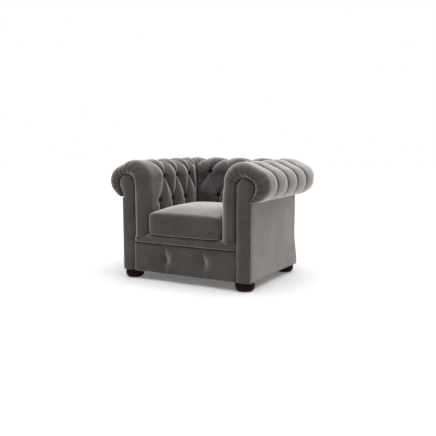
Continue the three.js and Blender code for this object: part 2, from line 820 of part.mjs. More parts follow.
// Loose seat cushion: a soft box with a crowned top, drawn-in sides and rounded corners
function seatCushion() {
  const half = armInside;
  const rear = backInside;
  const base = deckTop + gap;
  const middle = (cushionFront + rear) / 2;
  const halfDepth = (rear - cushionFront) / 2;
  const cornerSteps = 5;
  const sideSteps = 7;
  // inset and height of each ring, as shares of the corner radius and the height
  const sideShares = [[0.62, 0], [0.2, 0.05], [0.04, 0.2], [0, 0.5], [0.03, 0.8], [0.18, 0.95], [0.5, 1]];
  const crownShares = [0.2, 0.42, 0.64, 0.82];
  const cornerMostShare = 0.8;
  const levels = sideShares.map(([inset, up]) => [inset * cushionCorner, up * cushionHeight]);
  for (const share of crownShares) {
    const inset = mix(cushionCorner / 2, half, share);
    const rise = Math.sqrt(1 - (1 - share) ** 2);
    levels.push([inset, cushionHeight + cushionCrown * rise]);
  }
  const rings = levels.map(([inset, up]) => {
    const [a, b] = [half - inset, halfDepth - inset];
    const corner = Math.min(cushionCorner, a * cornerMostShare, b * cornerMostShare);
    const ring = [];
    for (const [sx, sy, turn] of [[1, 1, 0], [-1, 1, 1], [-1, -1, 2], [1, -1, 3]]) {
      const [cx, cy] = [sx * (a - corner), sy * (b - corner)];
      const bend = arc(cx, cy, corner, turn * Math.PI / 2, (turn + 1) * Math.PI / 2, cornerSteps);
      ring.push(...bend);
      const alongX = turn % 2 === 0;
      const start = bend.at(-1);
      const end = alongX ? [-start[0], start[1]] : [start[0], -start[1]];
      for (let i = 1; i < sideSteps; i += 1) {
        const share = i / sideSteps;
        const draw = cushionDraw * Math.sin(Math.PI * share) * a / half;
        ring.push([mix(start[0], end[0], share) - (alongX ? 0 : Math.sign(start[0]) * draw),
          mix(start[1], end[1], share) - (alongX ? Math.sign(start[1]) * draw : 0)]);
      }
    }
    return ring.map(([x, y]) => new THREE.Vector3(x, y + middle, base + up));
  });
  return loft(rings);
}

// Outside arm: a flat covered panel that turns the rear corner and meets the facing
function outsideArm() {
  const inner = woodOut + gap;
  const rear = woodRear + gap;
  const corner = arc(bodyHalfWidth - cornerRadius, bodyRear - cornerRadius,
    cornerRadius, 0, Math.PI / 2, 6);
  const plan = [
    [facingOuter + gap, bodyFront - gap], [facingOuter + gap, facingFront + sideReturnDepth],
    [bodyHalfWidth - sideReturnDepth / 2, facingFront], [bodyHalfWidth, facingFront + sideReturnDepth],
    ...corner, [bodyHalfWidth - cornerRadius, rear], [inner, rear], [inner, bodyFront - gap],
  ];
  return raise(plan, bodyBottom, frameTop - gap);
}

function outsideBack() {
  const half = bodyHalfWidth - cornerRadius - gap;
  return block(-half, half, woodRear + gap, bodyRear, bodyBottom, frameTop - gap);
}

// Scroll board: column and head in one board
function scrollBoard() {
  const head = formerOutline(armPath, stuffing, armWood, woodOut);
  const points = [[armWood, blockTop + gap], ...head, [woodOut, blockTop + gap]];
  return runAlongY(points, bodyFront, boardBack);
}

// Back roll former: a hollow roll on a solid neck, on the back board
function backRollFormer() {
  const reach = armWood - gap;
  const outer = formerOutline(backPath, stuffing, backWood, woodRear)
    .map(([y, z]) => [y, z === frameTop ? frameTop + gap : z]);
  const hollow = formerOutline(backPath, stuffing + formerThick, backWood, woodRear)
    .filter(([y, z]) => z >= outer.at(-2)[1] + formerThick - gap && y > woodRear);
  return cut(runAlongX(outer, -reach, reach), runAlongX(hollow, -reach - overrun, reach + overrun));
}

// Arm roll former: a curved shell standing on the arm board
function formerShell(path, inner, wood) {
  const outer = formerOutline(path, stuffing, inner, wood);
  const lining = formerOutline(path, stuffing + formerThick, inner + formerThick, wood - formerThick);
  const lift = ([a, z]) => [a, z === frameTop ? frameTop + gap : z];
  return [...outer.map(lift), ...lining.reverse().map(lift)];
}

// Seat springs: a wire that swings from side to side on its way from front to back
class SinuousCurve extends THREE.Curve {
  constructor(x, from, to) {
    super();
    Object.assign(this, { x, from, to });
  }

  getPoint(share, target = new THREE.Vector3()) {
    const swing = springSwing * Math.sin(Math.PI * springBars * share);
    const rise = springRise * Math.sin(Math.PI * share);
    return target.set(this.x + swing, mix(this.from, this.to, share), springHeight + rise);
  }
}

function wireSection(radius, sides) {
  const points = [];
  for (let i = 0; i < sides; i += 1) {
    const turn = 2 * Math.PI * i / sides;
    points.push([radius * Math.cos(turn), radius * Math.sin(turn)]);
  }
  return outline(points);
}

function spring(x) {
  const from = boardBackOfRail + stripThick + 2 * gap + springWire / 2;
  const to = woodRear - railThick - stripThick - 2 * gap - springWire / 2;
  const curve = new SinuousCurve(x, from, to);
  const settings = { steps: springBars * 5, extrudePath: curve, bevelEnabled: false };
  return new THREE.ExtrudeGeometry(wireSection(springWire / 2, 5), settings);
}
const boardBackOfRail = bodyFront + railThick;

// Turned foot: a bun with a flat base, a seat for the glide and a bore for the bolt
function foot() {
  const top = footRestTop;
  const recess = glideThick + gap;
  const bore = boltRadius + boltFit;
  const boreBottom = top - boltFoot - gap;
  const base = footBaseLift;
  const profile = [
    [0, recess], [glideRadius + gap, recess], [glideRadius + gap, base], [footBaseRadius, base],
  ];
  const bulgeHeight = (top + base) * 0.62;
  const bulgeSteps = 5;
  for (let i = 1; i <= bulgeSteps; i += 1) {
    const share = i / bulgeSteps;
    const z = mix(base, bulgeHeight, 1 - Math.cos(share * Math.PI / 2));
    profile.push([mix(footBaseRadius, footRadius, Math.sin(share * Math.PI / 2)), z]);
  }
  const shoulderSteps = 3;
  for (let i = 1; i <= shoulderSteps; i += 1) {
    const share = i / shoulderSteps;
    profile.push([mix(footRadius, footNeckRadius, 1 - Math.cos(share * Math.PI / 2)),
      mix(bulgeHeight, top, Math.sin(share * Math.PI / 2))]);
  }
  profile.push([bore, top], [bore, boreBottom], [0, boreBottom]);
  const turned = new THREE.LatheGeometry(profile.map(([r, z]) => new THREE.Vector2(r, z)), 20);
  return outward(mergedIndex(turned.rotateX(Math.PI / 2)));
}

function mergedIndex(geometry) {
  geometry.deleteAttribute('normal');
  geometry.deleteAttribute('uv');
  return mergeVertices(geometry, 1e-3);
}

function upright(radius, z0, z1, sides) {
  const post = new THREE.CylinderGeometry(radius, radius, z1 - z0, sides);
  return post.rotateX(Math.PI / 2).translate(0, 0, (z0 + z1) / 2);
}

// Corner block with the bore for a foot's bolt
function cornerBlock(y0, y1, boltY) {
  const corners = [[armWood, y0], [woodOut, y0], [woodOut, y1], [armWood, y1]];
  return raise(corners, blockBottom, blockTop, [roundHole(footOut, boltY, boltRadius + boltFit)]);
}

// Woodwork
const frontFootY = bodyFront + footFrontInset;
const rearFootY = woodRear - footRearInset;
const railEnd = armWood - gap;
add('front_rail', block(-railEnd, railEnd, bodyFront, boardBackOfRail, railBottom, railTop), 'hardwood');
add('back_rail', block(-railEnd, railEnd, woodRear - railThick, woodRear, railBottom, railTop), 'hardwood');
addPair('side_rail', block(woodOut - railThick, woodOut, bodyFront + blockLength + gap,
  woodRear - blockLength - gap, railBottom, sideRailTop), 'hardwood');
addPair('front_corner_block', cornerBlock(bodyFront, bodyFront + blockLength, frontFootY), 'hardwood');
addPair('rear_corner_block', cornerBlock(woodRear - blockLength, woodRear, rearFootY), 'hardwood');
const postInner = woodOut - postSize;
const backPostFront = backWood + insidePanelThick + gap;
addPair('front_post', block(postInner, woodOut, boardBack + gap, boardBack + postSize,
  blockTop + gap, boardUnder - gap), 'hardwood');
addPair('back_post', block(postInner, woodOut, backPostFront, woodRear,
  blockTop + gap, boardUnder - gap), 'hardwood');
addPair('scroll_board', scrollBoard(), 'hardwood');
addPair('arm_board', block(armWood, woodOut, boardBack + gap, backWood - gap,
  boardUnder, frameTop), 'hardwood');
add('back_board', block(-woodOut, woodOut, backWood, woodRear, boardUnder, frameTop), 'hardwood');
addPair('arm_tack_rail', block(armWood, armWood + tackRailWide, boardBack + gap, backWood - gap,
  padBottom, padBottom + tackRailHigh), 'hardwood');
add('back_tack_rail', block(-postInner + gap, postInner - gap, backWood, backWood + tackRailWide,
  padBottom, padBottom + tackRailHigh), 'hardwood');
const panelLow = padBottom + tackRailHigh + gap;
addPair('arm_inside_panel', block(armWood, armWood + insidePanelThick, boardBack + gap, backWood - gap,
  panelLow, boardUnder - gap), 'hessian');
add('back_inside_panel', block(-woodOut, woodOut, backWood, backWood + insidePanelThick,
  panelLow, boardUnder - gap), 'hessian');
addPair('arm_roll_former', runAlongY(formerShell(armPath, armWood, woodOut),
  boardBack + gap, backWood - gap), 'hardwood');
add('back_roll_former', backRollFormer(), 'hardwood');

// Seat springing
for (let i = 0; i < springCount; i += 1) {
  add(`seat_spring_${i + 1}`, spring((i - (springCount - 1) / 2) * springBayWidth), 'steel');
}
const stripHalf = (springCount - 1) / 2 * springBayWidth + springSwing * 2;
const stripLow = springHeight - stripHigh / 2;
add('front_spring_strip', block(-stripHalf, stripHalf,
  boardBackOfRail + gap, boardBackOfRail + gap + stripThick, stripLow, stripLow + stripHigh), 'steel');
add('rear_spring_strip', block(-stripHalf, stripHalf, woodRear - railThick - gap - stripThick,
  woodRear - railThick - gap, stripLow, stripLow + stripHigh), 'steel');
const hessianBottom = springHeight + springRise + springWire / 2 + gap;
const hessianTop = hessianBottom + hessianThick;
const deckFront = boardBack + tackRailWide / 2 + gap;
add('seat_hessian', block(-armInside, armInside, deckFront, backInside,
  hessianBottom, hessianTop), 'hessian');
add('seat_deck', block(-armInside, armInside, deckFront, backInside, hessianTop + gap, deckTop), 'velvet');

// Upholstery
addPair('arm_pad', armPad(), 'velvet');
add('back_pad', backPad(), 'velvet');
addPair('facing', facing(), 'velvet');
add('front_border', frontBorder(), 'velvet');
add('seat_lip', seatLip(), 'velvet');
addPair('outside_arm', outsideArm(), 'velvet');
add('outside_back', outsideBack(), 'velvet');
add('seat_cushion', seatCushion(), 'velvet');
const lining = [[-woodOut, bodyFront], [woodOut, bodyFront], [woodOut, woodRear], [-woodOut, woodRear]];
const liningHoles = [-1, 1].flatMap((side) => [frontFootY, rearFootY]
  .map((y) => roundHole(side * footOut, y, boltRadius + boltFit)));
add('dust_cover', raise(lining, bodyBottom, bodyBottom + dustCoverThick, liningHoles), 'lining');

// Feet
for (const [end, y] of [['front', frontFootY], ['rear', rearFootY]]) {
  for (const [side, x] of [['right', footOut], ['left', -footOut]]) {
    add(`${end}_foot_${side}`, foot(), 'darkWood').position.set(x, y, 0);
    const bolt = upright(boltRadius, footRestTop - boltFoot, footRestTop + boltBlock, 12);
    add(`${end}_foot_bolt_${side}`, bolt, 'steel').position.set(x, y, 0);
    const glide = upright(glideRadius, 0, glideThick, 20);
    add(`${end}_foot_glide_${side}`, glide, 'nylon').position.set(x, y, 0);
  }
}

// The origin stands on the floor under the middle of the chair
const bounds = new THREE.Box3().setFromObject(chair, true);
chair.position.y = -(bounds.min.y + bounds.max.y) / 2;
chair.updateMatrixWorld(true);

export default chair;
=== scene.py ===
"""Chesterfield armchair: velvet covers, loose cushion, turned feet and the frame's finishes."""

import math

import bpy
import numpy as np
from bpy.props import FloatProperty, FloatVectorProperty, IntProperty, PointerProperty
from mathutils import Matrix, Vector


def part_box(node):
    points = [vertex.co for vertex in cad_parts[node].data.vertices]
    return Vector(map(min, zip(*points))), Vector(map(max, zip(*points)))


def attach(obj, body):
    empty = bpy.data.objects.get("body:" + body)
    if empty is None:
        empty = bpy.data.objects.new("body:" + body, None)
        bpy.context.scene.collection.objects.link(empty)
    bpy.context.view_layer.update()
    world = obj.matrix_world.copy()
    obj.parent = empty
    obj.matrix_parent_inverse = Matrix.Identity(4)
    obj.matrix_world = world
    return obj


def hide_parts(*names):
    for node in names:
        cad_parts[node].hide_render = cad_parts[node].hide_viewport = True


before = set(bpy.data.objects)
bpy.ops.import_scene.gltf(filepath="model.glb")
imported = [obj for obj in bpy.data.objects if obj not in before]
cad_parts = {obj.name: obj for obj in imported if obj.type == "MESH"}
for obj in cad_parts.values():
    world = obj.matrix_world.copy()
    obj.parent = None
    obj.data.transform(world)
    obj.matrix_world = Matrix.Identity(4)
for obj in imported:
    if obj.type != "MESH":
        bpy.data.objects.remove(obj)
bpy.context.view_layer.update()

bl_info = {
    "name": "Chesterfield armchair",
    "version": (1, 0, 0),
    "blender": (4, 5, 0),
    "location": "3D View > Sidebar > Armchair",
    "description": "Tufted covers, cushion, feet and finishes of a velvet club armchair",
    "category": "Object",
}

MM = 0.001

# Sizes in millimetres, in the frame of the measuring drawing: the outside back is at Y 340
BODY_REAR = 340.0
SHIFT_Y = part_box("outside_back")[1].y / MM - BODY_REAR
GAP = 0.3
BODY_HALF = 435.0
BODY_FRONT = -300.0
BODY_BOTTOM = 50.0
REAR_CORNER = 30.0      # radius of the upright rear corners
WOOD_OUT = 424.0
WOOD_REAR = 329.0
FRAME_TOP = 499.0
PAD_BOTTOM = 235.0
PAD_THICK = 49.5

# Sections of the pads, measured outwards from the middle of the seat
ARM_PROFILE = {
    "inner": 240.0, "bend": 500.0, "lean": 10.0,
    "inner_circle": (115.0, 606.0), "outer_circle": (94.0, 203.0, 593.0),
    "low": 472.0, "high": 618.0, "crest": 12.0,
}
BACK_PROFILE = {
    "inner": 245.0, "bend": 472.0, "lean": 40.0,
    "inner_circle": (101.0, 620.0), "outer_circle": (96.0, 145.0, 595.0),
    "low": 476.0, "high": 632.0, "crest": 10.0,
}

# Tufting
FIRST_TUFT = -184.0
ARM_LOW_TUFTS = 3
LOW_DEPTH = 27.0
CREST_DEPTH = 22.0
ROLL_PLEAT = 12.5       # depth of the pleats over the roll
PLEAT_END = 6.0         # and of those under the low tufts, at the foot
LUMP_HALF = 68.0        # from a crease to where a lump is full
CREASE_SOFT = 2.2       # rounding of a crease's bottom
VALLEY_POWER = 1.9
JOIN_POWER = 5          # of the mean that joins valleys
PLEAT_FOLD = 0.5        # share of a pleat's depth that its narrow fold takes
PLEAT_SPREAD = 1.6      # half width of that fold for each millimetre of depth
PLEAT_LEAST = 12.0      # and the least of it
PUCKERS = 9             # round a tuft
PUCKER_DEPTH, PUCKER_FROM, PUCKER_TO, PUCKER_PHASE = 1.3, 9.0, 26.0, 1.7
PIT_DEPTH, PIT_HALF = 9.0, 12.0

# Painted shade: how dark the pile is made in a crease, a pleat and a tuft, and how far from it
CREASE_SHADE, PLEAT_SHADE, CREASE_SHADE_HALF, SHADE_DEPTH = 0.4, 0.9, 3.2, 6.0
TUFT_SHADE, TUFT_SHADE_HALF = 1.9, 14.0
# Painted shade along the mitre seams of the arms and the back: its strength and half widths
ARM_SEAM_SHADE, ARM_SEAM_HALF, BACK_SEAM_HALF = 0.5, 5.0, 7.0

# Mitre between arm and back, with a value to each row of the covers where there are seven
MITRE_EASE = 130.0      # from the mitre to where a pad has its own section
MITRE_STOP = 0.2        # each cover stops this far short of it
MITRE_RADIUS = (0, 0, 0, 0, 100, 30, 0)
MITRE_OUT = (0, 0, 14, 18, 0, 0, 0)
MITRE_BACK = (0, 0, -14, 18, 0, 0, 0)
MITRE_DEPTH = (PLEAT_END, LOW_DEPTH, 24, 17, ROLL_PLEAT, 0, 0)
MITRE_PIT, MITRE_PIT_HALF = 5.0, 0.07

# Arm fronts
BAND_EDGE = 56.0        # radius of the arm front's rounding over the roll
BAND_INSIDE = 68.0      # and up the inside of the arm
BAND_FRONT = -342.0
BAND_CREASE = -318.0
BAND_BOTTOM = 262.0
BAND_FALL = 2.4         # power of the fall to the crease
BAND_CROWN = 3.0
GATHER_HEIGHT, GATHER_FROM, GATHER_DRIFT, GATHER_DRIFTS = 4.2, 60.0, 0.05, 9
# Painted shade in the folds of the gathers and in the crease beside the facing, and its half
# width
GATHER_SHADE, BAND_SEAM_SHADE, BAND_SEAM_HALF = 0.6, 0.75, 0.08

FACING_FRONT = -335.0
FACING_SEAM = -316.0
FACING_SWELL = 21.0
FACING_INNER = 343.0
FACING_OUTER = 431.6
FACING_HEAD = (400.0, 577.0, 57.0)      # out, up and radius
FACING_RETURN = 500.0                   # below this the outside panel meets the facing
FACING_WRAP = 3.0                       # how far it wraps over that panel's end
FACING_WRINKLE = (0.8, 34.0, 17.0)      # height and its waves along Z and X

BORDER_TOP = 226.0
BORDER_TUFT = 130.0
BORDER_TUFT_HEIGHT = 137.0
BORDER_SWELL = 10.0
BORDER_SEAM, BORDER_FOLD, BORDER_PIT, BORDER_DEEPEST = 12.0, 2.0, 20.0, 34.0
BORDER_PIT_ACROSS, BORDER_PIT_UP = 32.0, 38.0
BORDER_WRINKLE = (0.9, 41.0, 23.0)

LIP_TOP = 280.0
LIP_FRONT = -343.0
LIP_NOSE = 15.0         # from the lip's seam up to its nose
LIP_TUCK = 0.85         # angle by which it is tucked in below the nose
LIP_THICK = 30.0
LIP_ENDS = 13.0         # how far the lip falls back at its ends
LIP_RAIL = 232.5        # top of the rail behind it, with a gap
FLAP_REAR = -264.7      # end of the flap under the cushion
FLAP_HALF = ARM_PROFILE["inner"] - 1

# Outside panels
PANEL_SWELL, PANEL_WRINKLE, PANEL_TURN = 2.2, 0.7, 3.0
PANEL_FULL = 0.35       # power of the swell's half sines: the less, the fuller
FLARE = 12.0            # how far their rear corners stand out at the foot
FLARE_TOP = 260.0

# Seat cushion and deck
DECK_CROWN = 4.0
CUSHION_HALF = 236.8
CUSHION_MID = -49.5
CUSHION_DEEP = 291.5
CUSHION_SQUARE = 16     # power of the superellipse of the cushion's plan
CUSHION_BASE = 282.0
CUSHION_EDGE = 127.0
CUSHION_CROWN = 39.0
CUSHION_OVER = 16.0     # radius round the top
CUSHION_UNDER = 9.0
CUSHION_TALLEST = 170.0
CUSHION_SPREAD = 16.0   # how far the front bulges in front of the arm pads
CUSHION_SAG = 5.0       # how far the front edge hangs down over the lip
SPREAD_FROM, SPREAD_OVER = -290.0, 50.0     # where the bulge starts, and over what depth
SAG_FROM, SAG_OVER = -312.0, 28.0
CUSHION_FORWARD = 9.0   # how far the front may swell past the plain solid
CUSHION_CLEAR = 0.4
CUSHION_SWELL = 24.0    # the furthest that the cloth may move a point
TOP_SEAM = 0.8          # how firmly the top seam is held
TAUT_ROUNDS = 16
WRINKLE_SHARE = 0.2
CLOTH_FRAMES = 20

STRIDE = 4              # one step of a hidden lining for so many steps of the cover
ROW_STEPS = (36, 40, 44, 48, 36, 4)


# Numbers and points

def smooth(share):
    return share * share * (3 - 2 * share)


def mix(a, b, share):
    return a + (b - a) * share


def bell(away, half):
    """Bell curve of a distance, 1 in the middle."""
    return np.exp(-(away / half) ** 2)


def ramp(value, length=1.0):
    """Rises from 0 to 1 over a length, and stays there."""
    return np.clip(value / length, 0, 1)


def hump(value, low, high, power):
    """Half sine between two places, made fuller by a power below 1."""
    return np.clip(np.sin(np.pi * (value - low) / (high - low)), 0, 1) ** power


def points_of(*axes):
    """Points from their coordinates, spread over the grid that these have in common."""
    return np.stack(np.broadcast_arrays(*axes), -1)


def lengths_along(points, axis=0):
    """Length from the start to each point, along one axis of a line or grid of points."""
    steps = np.linalg.norm(np.diff(points, axis=axis), axis=-1)
    return np.insert(np.cumsum(steps, axis), 0, 0, axis)


def sample(points, count):
    """Points evenly spaced by length along a line of points."""
    points = np.asarray(points, float)
    lengths = lengths_along(points)
    at = np.linspace(0, lengths[-1], count)
    return np.stack([np.interp(at, lengths, axis) for axis in points.T], 1)


def arc(centre, radius, start, end, steps):
    turn = np.linspace(start, end, steps + 1)
    return np.stack([centre[0] + radius * np.cos(turn), centre[1] + radius * np.sin(turn)], 1)


def mirrored(grid):
    return grid * (-1, 1, 1)


# Meshes

def to_frame(points):
    """Millimetres of the drawing to metres of the frame."""
    return (np.asarray(points, float) + (0, SHIFT_Y, 0)) * MM


def to_drawing(points):
    """Metres of the frame to millimetres of the drawing."""
    return points / MM - (0, SHIFT_Y, 0)


def surface_volume(points, quads):
    """Six times the volume closed by the faces, positive if they point outwards."""
    a, b, c, d = (points[quads[:, i]] for i in range(4))
    return float((np.cross(a, b) * c).sum() + (np.cross(a, c) * d).sum())


def linked(name, data):
    made = bpy.data.objects.new(name, data)
    bpy.context.scene.collection.objects.link(made)
    return made


def new_object(name, points, faces, uv=None, crease=None):
    """A smooth mesh object from frame points and face lists, with cover coordinates."""
    mesh = bpy.data.meshes.new(name)
    mesh.from_pydata(points.tolist(), [], faces)
    if uv is not None:
        corners = np.zeros(len(mesh.loops), np.int32)
        mesh.loops.foreach_get("vertex_index", corners)
        layer = mesh.uv_layers.new(name="Cover")
        layer.data.foreach_set("uv", uv[corners].astype(np.float32).ravel())
    # The crease attribute carries the painted shade of the velvet in creases, tufts and seams
    if crease is not None:
        values = mesh.attributes.new("crease", "FLOAT", "POINT")
        values.data.foreach_set("value", crease.astype(np.float32))
    mesh.polygons.foreach_set("use_smooth", np.ones(len(mesh.polygons), bool))
    mesh.validate()
    mesh.update()
    mesh.set_sharp_from_angle(angle=math.radians(75))
    return linked(name, mesh)


def grid_quads(rows, columns, start=0):
    """Corner numbers of the quads of a grid whose points are numbered row by row."""
    at = start + np.arange(rows * columns).reshape(rows, columns)
    return np.stack([at[:-1, :-1], at[1:, :-1], at[1:, 1:], at[:-1, 1:]], -1).reshape(-1, 4)


def shell(name, cover, lining, crease):
    """A closed skin between a fine cover grid and a lining grid with one step for STRIDE of
    the cover's. The four edges are closed by strips, with one face to a lining step."""
    m, n = cover.shape[:2]
    p, q = lining.shape[:2]
    points = to_frame(np.concatenate([cover.reshape(-1, 3), lining.reshape(-1, 3)]))
    outer = grid_quads(m, n)
    inner = grid_quads(p, q, m * n)[:, ::-1]
    top = np.arange(m * n).reshape(m, n)
    low = m * n + np.arange(p * q).reshape(p, q)

    def strip(edge, back, forward):
        count = len(back) - 1
        blocks = edge[np.arange(count)[:, None] * STRIDE + np.arange(STRIDE + 1)]
        pairs = np.stack([back[1:], back[:-1]], 1)
        if not forward:
            blocks, pairs = blocks[:, ::-1], pairs[:, ::-1]
        return np.concatenate([blocks, pairs], 1)

    strips = np.concatenate([
        strip(top[0], low[0], True), strip(top[-1], low[-1], False),
        strip(top[:, 0], low[:, 0], False), strip(top[:, -1], low[:, -1], True)])
    closing = strips[:, (0, STRIDE, STRIDE + 1, STRIDE + 2)]
    if surface_volume(points, np.concatenate([outer, inner, closing])) < 0:
        outer, inner, strips = outer[:, ::-1], inner[:, ::-1], strips[:, ::-1]
    faces = outer.tolist() + inner.tolist() + strips.tolist()
    uv = np.stack([lengths_along(cover, 0), lengths_along(cover, 1)], -1) * MM
    uv = np.concatenate([uv.reshape(-1, 2), uv[::STRIDE, ::STRIDE].reshape(-1, 2)])
    # The cover's points carry the painted shade; the lining's carry none
    return new_object(name, points, faces, uv, np.concatenate([crease.ravel(), np.zeros(p * q)]))


def lining_of(cover, axis, place):
    """Every STRIDE-th point of a cover, laid flat at a place on one axis."""
    lining = cover[::STRIDE, ::STRIDE].copy()
    lining[..., axis] = place
    return lining


# Section of a pad

# Rows of the covers: 0 foot, 1 low tufts, 2 high tufts, 3 crest, 4 outside of the roll,
# 5 underside, 6 where the cover meets the outside panel
ROWS = np.concatenate([[0]] + [n + np.arange(1, s + 1) / s for n, s in enumerate(ROW_STEPS)])
KEYS = np.arange(7)


class CoverPath:
    """Line of a pad's cover in section: up the inside face, which leans back along a smooth
    step, over two circles joined by their common tangent, and flat underneath. Places are
    found by length from the foot."""

    def __init__(self, profile, underside_end):
        inner, bend, lean = profile["inner"], profile["bend"], profile["lean"]
        radius, height = profile["inner_circle"]
        outer_radius, out, outer_height = profile["outer_circle"]
        first = np.array([inner + lean + radius, height])
        second = np.array([inner + out, outer_height])
        apart = second - first
        turned = math.acos((radius - outer_radius) / np.hypot(*apart))
        tangent = math.atan2(apart[1], apart[0]) + turned
        share = np.linspace(0, 1, 40)
        leaning = np.stack([inner + lean * smooth(share), mix(bend, height, share)], 1)
        over = arc(first, radius, math.pi, tangent, 160)[1:]
        round_end = arc(second, outer_radius, tangent, -math.pi / 2, 160)
        underside = outer_height - outer_radius
        self.points = np.concatenate([
            [[inner, PAD_BOTTOM]], leaning, over, round_end, [[underside_end, underside]]])
        self.lengths = lengths_along(self.points)
        steps = np.diff(self.points, axis=0)
        normals = np.stack([-steps[:, 1], steps[:, 0]], 1) / np.hypot(*steps.T)[:, None]
        self.normals = np.concatenate([normals[:1], normals[:-1] + normals[1:], normals[-1:]])
        late = np.arange(len(self.points)) > len(leaning) + len(over)

        def where(test):
            return self.lengths[np.argmax(test)]

        x, z = self.points.T
        self.keys = np.array([
            0, profile["low"] - PAD_BOTTOM, where(z >= profile["high"]),
            where(x >= first[0]) + profile["crest"],
            where((x >= second[0]) & (z <= second[1] + 1)),
            where(late & (z <= underside + 0.01)), self.lengths[-1]])

    def length(self, rows):
        return np.interp(rows, KEYS, self.keys)

    def at(self, length):
        """Place (outwards, up) and outward direction at lengths along the cover."""
        out, z = (np.interp(length, self.lengths, axis) for axis in self.points.T)
        a, b = (np.interp(length, self.lengths, axis) for axis in self.normals.T)
        size = np.hypot(a, b)
        return out, z, a / size, b / size


arm_path = CoverPath(ARM_PROFILE, WOOD_OUT + 2 * GAP)
back_path = CoverPath(BACK_PROFILE, WOOD_REAR + 2 * GAP)


class Mitre:
    """Seam between arm and back, a point to a row: where the two sections meet, drawn in at
    the rear corner by (1 - root of a half) of the corner's radius, with its direction and
    depth, which has a pit at each row of tufts."""

    def __init__(self, rows):
        arm_out, arm_z, arm_a, arm_b = arm_path.at(arm_path.length(rows))
        back_out, back_z, back_a, back_b = back_path.at(back_path.length(rows))
        radius, out, back, depth = (
            np.interp(rows, KEYS, v) for v in (MITRE_RADIUS, MITRE_OUT, MITRE_BACK, MITRE_DEPTH))
        draw = (1 - math.sqrt(0.5)) * radius
        self.x = arm_out - draw + out
        self.y = back_out - draw + back
        self.z = (arm_z + back_z) / 2
        normal = np.stack([arm_a, back_a, (arm_b + back_b) / 2], -1)
        self.normal = normal / np.linalg.norm(normal, axis=-1, keepdims=True)
        self.depth = depth + MITRE_PIT * sum(bell(rows - row, MITRE_PIT_HALF) for row in (1, 2))

    def ring(self):
        return np.stack([self.x, self.y, self.z], -1) - self.normal * self.depth[:, None]


KEY_RING = Mitre(KEYS).ring()


# Creases

def valley(away, half):
    """Share of a crease's depth at a distance from it: the mean of a quarter circle, (1 -
    root of (1 - nearness squared)), and a power of the nearness, a little rounded below."""
    near = 1 - np.minimum(1, np.hypot(away, CREASE_SOFT) / half)
    return 0.5 * (1 - np.sqrt(1 - near * near)) + 0.5 * near ** VALLEY_POWER


def crease_field(run, length, creases, tufts):
    """Depth of the cover below its full form. Each crease is a valley, and valleys join by a
    high power mean. A crease is shallower in its middle by a parabola. One without a depth
    for its middle is a pleat: part of its depth is a fold as narrow as it is shallow. Each
    tuft adds a narrow pit, and faint puckers that fade away from it. Also returns the painted
    shade of each point, from 0 to 1, by how close it is to the bottom of a crease or a tuft."""
    total = np.zeros(np.broadcast(run, length).shape)
    close = np.zeros_like(total)
    for (x, y), end, depths, middle in creases:
        dx, dy = end[0] - x, end[1] - y
        share = ramp((run - x) * dx + (length - y) * dy, dx * dx + dy * dy)
        away = np.hypot(run - x - dx * share, length - y - dy * share)
        depth, form, dark = mix(*depths, share), valley(away, LUMP_HALF), CREASE_SHADE
        if middle is None:
            fold = np.clip(PLEAT_SPREAD * depth, PLEAT_LEAST, LUMP_HALF)
            form, dark = mix(form, valley(away, fold), PLEAT_FOLD), PLEAT_SHADE
        else:
            depth = depth - (depth - middle) * (1 - (2 * share - 1) ** 2)
        total += np.maximum(0, depth * form) ** JOIN_POWER
        # Painted shade along the bottom of the crease, less where it is shallow
        dark = dark * bell(away, CREASE_SHADE_HALF) * np.minimum(1, depth / SHADE_DEPTH)
        close = np.maximum(close, dark)
    total = total ** (1 / JOIN_POWER)
    for number, (x, y) in enumerate(tufts):
        away = np.hypot(run - x, length - y)
        turn = np.arctan2(length - y, run - x)
        fade = bell(away, PUCKER_TO) * (1 - bell(away, PUCKER_FROM))
        pucker = PUCKER_DEPTH * np.cos(PUCKERS * turn + PUCKER_PHASE * number) * fade
        total += pucker + PIT_DEPTH * bell(away, PIT_HALF)
        # Painted shade in and round the tuft's pit
        close = np.maximum(close, TUFT_SHADE * bell(away, TUFT_SHADE_HALF))
    return total, np.clip(close, 0, 1)


def roll_pleats(at, path):
    """Pleats from a tuft on the crest over the roll, and on under it."""
    crest, outer, under = path.keys[3:6]
    return [((at, crest), (at, outer), (CREST_DEPTH, ROLL_PLEAT), None),
            ((at, outer), (at, under), (ROLL_PLEAT, 0), None)]


def arm_creases(sizes):
    """Creases and tufts of an arm, from front to rear: (start, end, depths there, depth in
    the middle), with places as (run, length along the section)."""
    low, high, crest = arm_path.keys[1:4]
    pitch, tuft, fold = sizes.arm_pitch / MM, sizes.tuft_depth / MM, sizes.crease_depth / MM
    lower, rising = (LOW_DEPTH, tuft), (tuft, CREST_DEPTH)
    creases, tufts = [], []
    for k in range(ARM_LOW_TUFTS + 1):
        y = FIRST_TUFT + pitch * k
        half = y + pitch / 2
        if k < ARM_LOW_TUFTS:
            creases += [
                ((y, low), (y, 0), (LOW_DEPTH, PLEAT_END), None),
                ((y, low), (half, high), lower, fold),
                ((half, high), (y, crest), rising, fold),
                ((half, high), (y + pitch, crest), rising, fold),
                ((half, high), (y + pitch, low), (tuft, LOW_DEPTH), fold)]
            tufts += [(y, low), (half, high)]
        creases += roll_pleats(y, arm_path)
        tufts.append((y, crest))
    last = FIRST_TUFT + pitch * ARM_LOW_TUFTS
    creases.append(((KEY_RING[2, 1], high), (last, crest), rising, fold))
    tufts += [(KEY_RING[1, 1], low), (KEY_RING[2, 1], high)]
    return creases, tufts


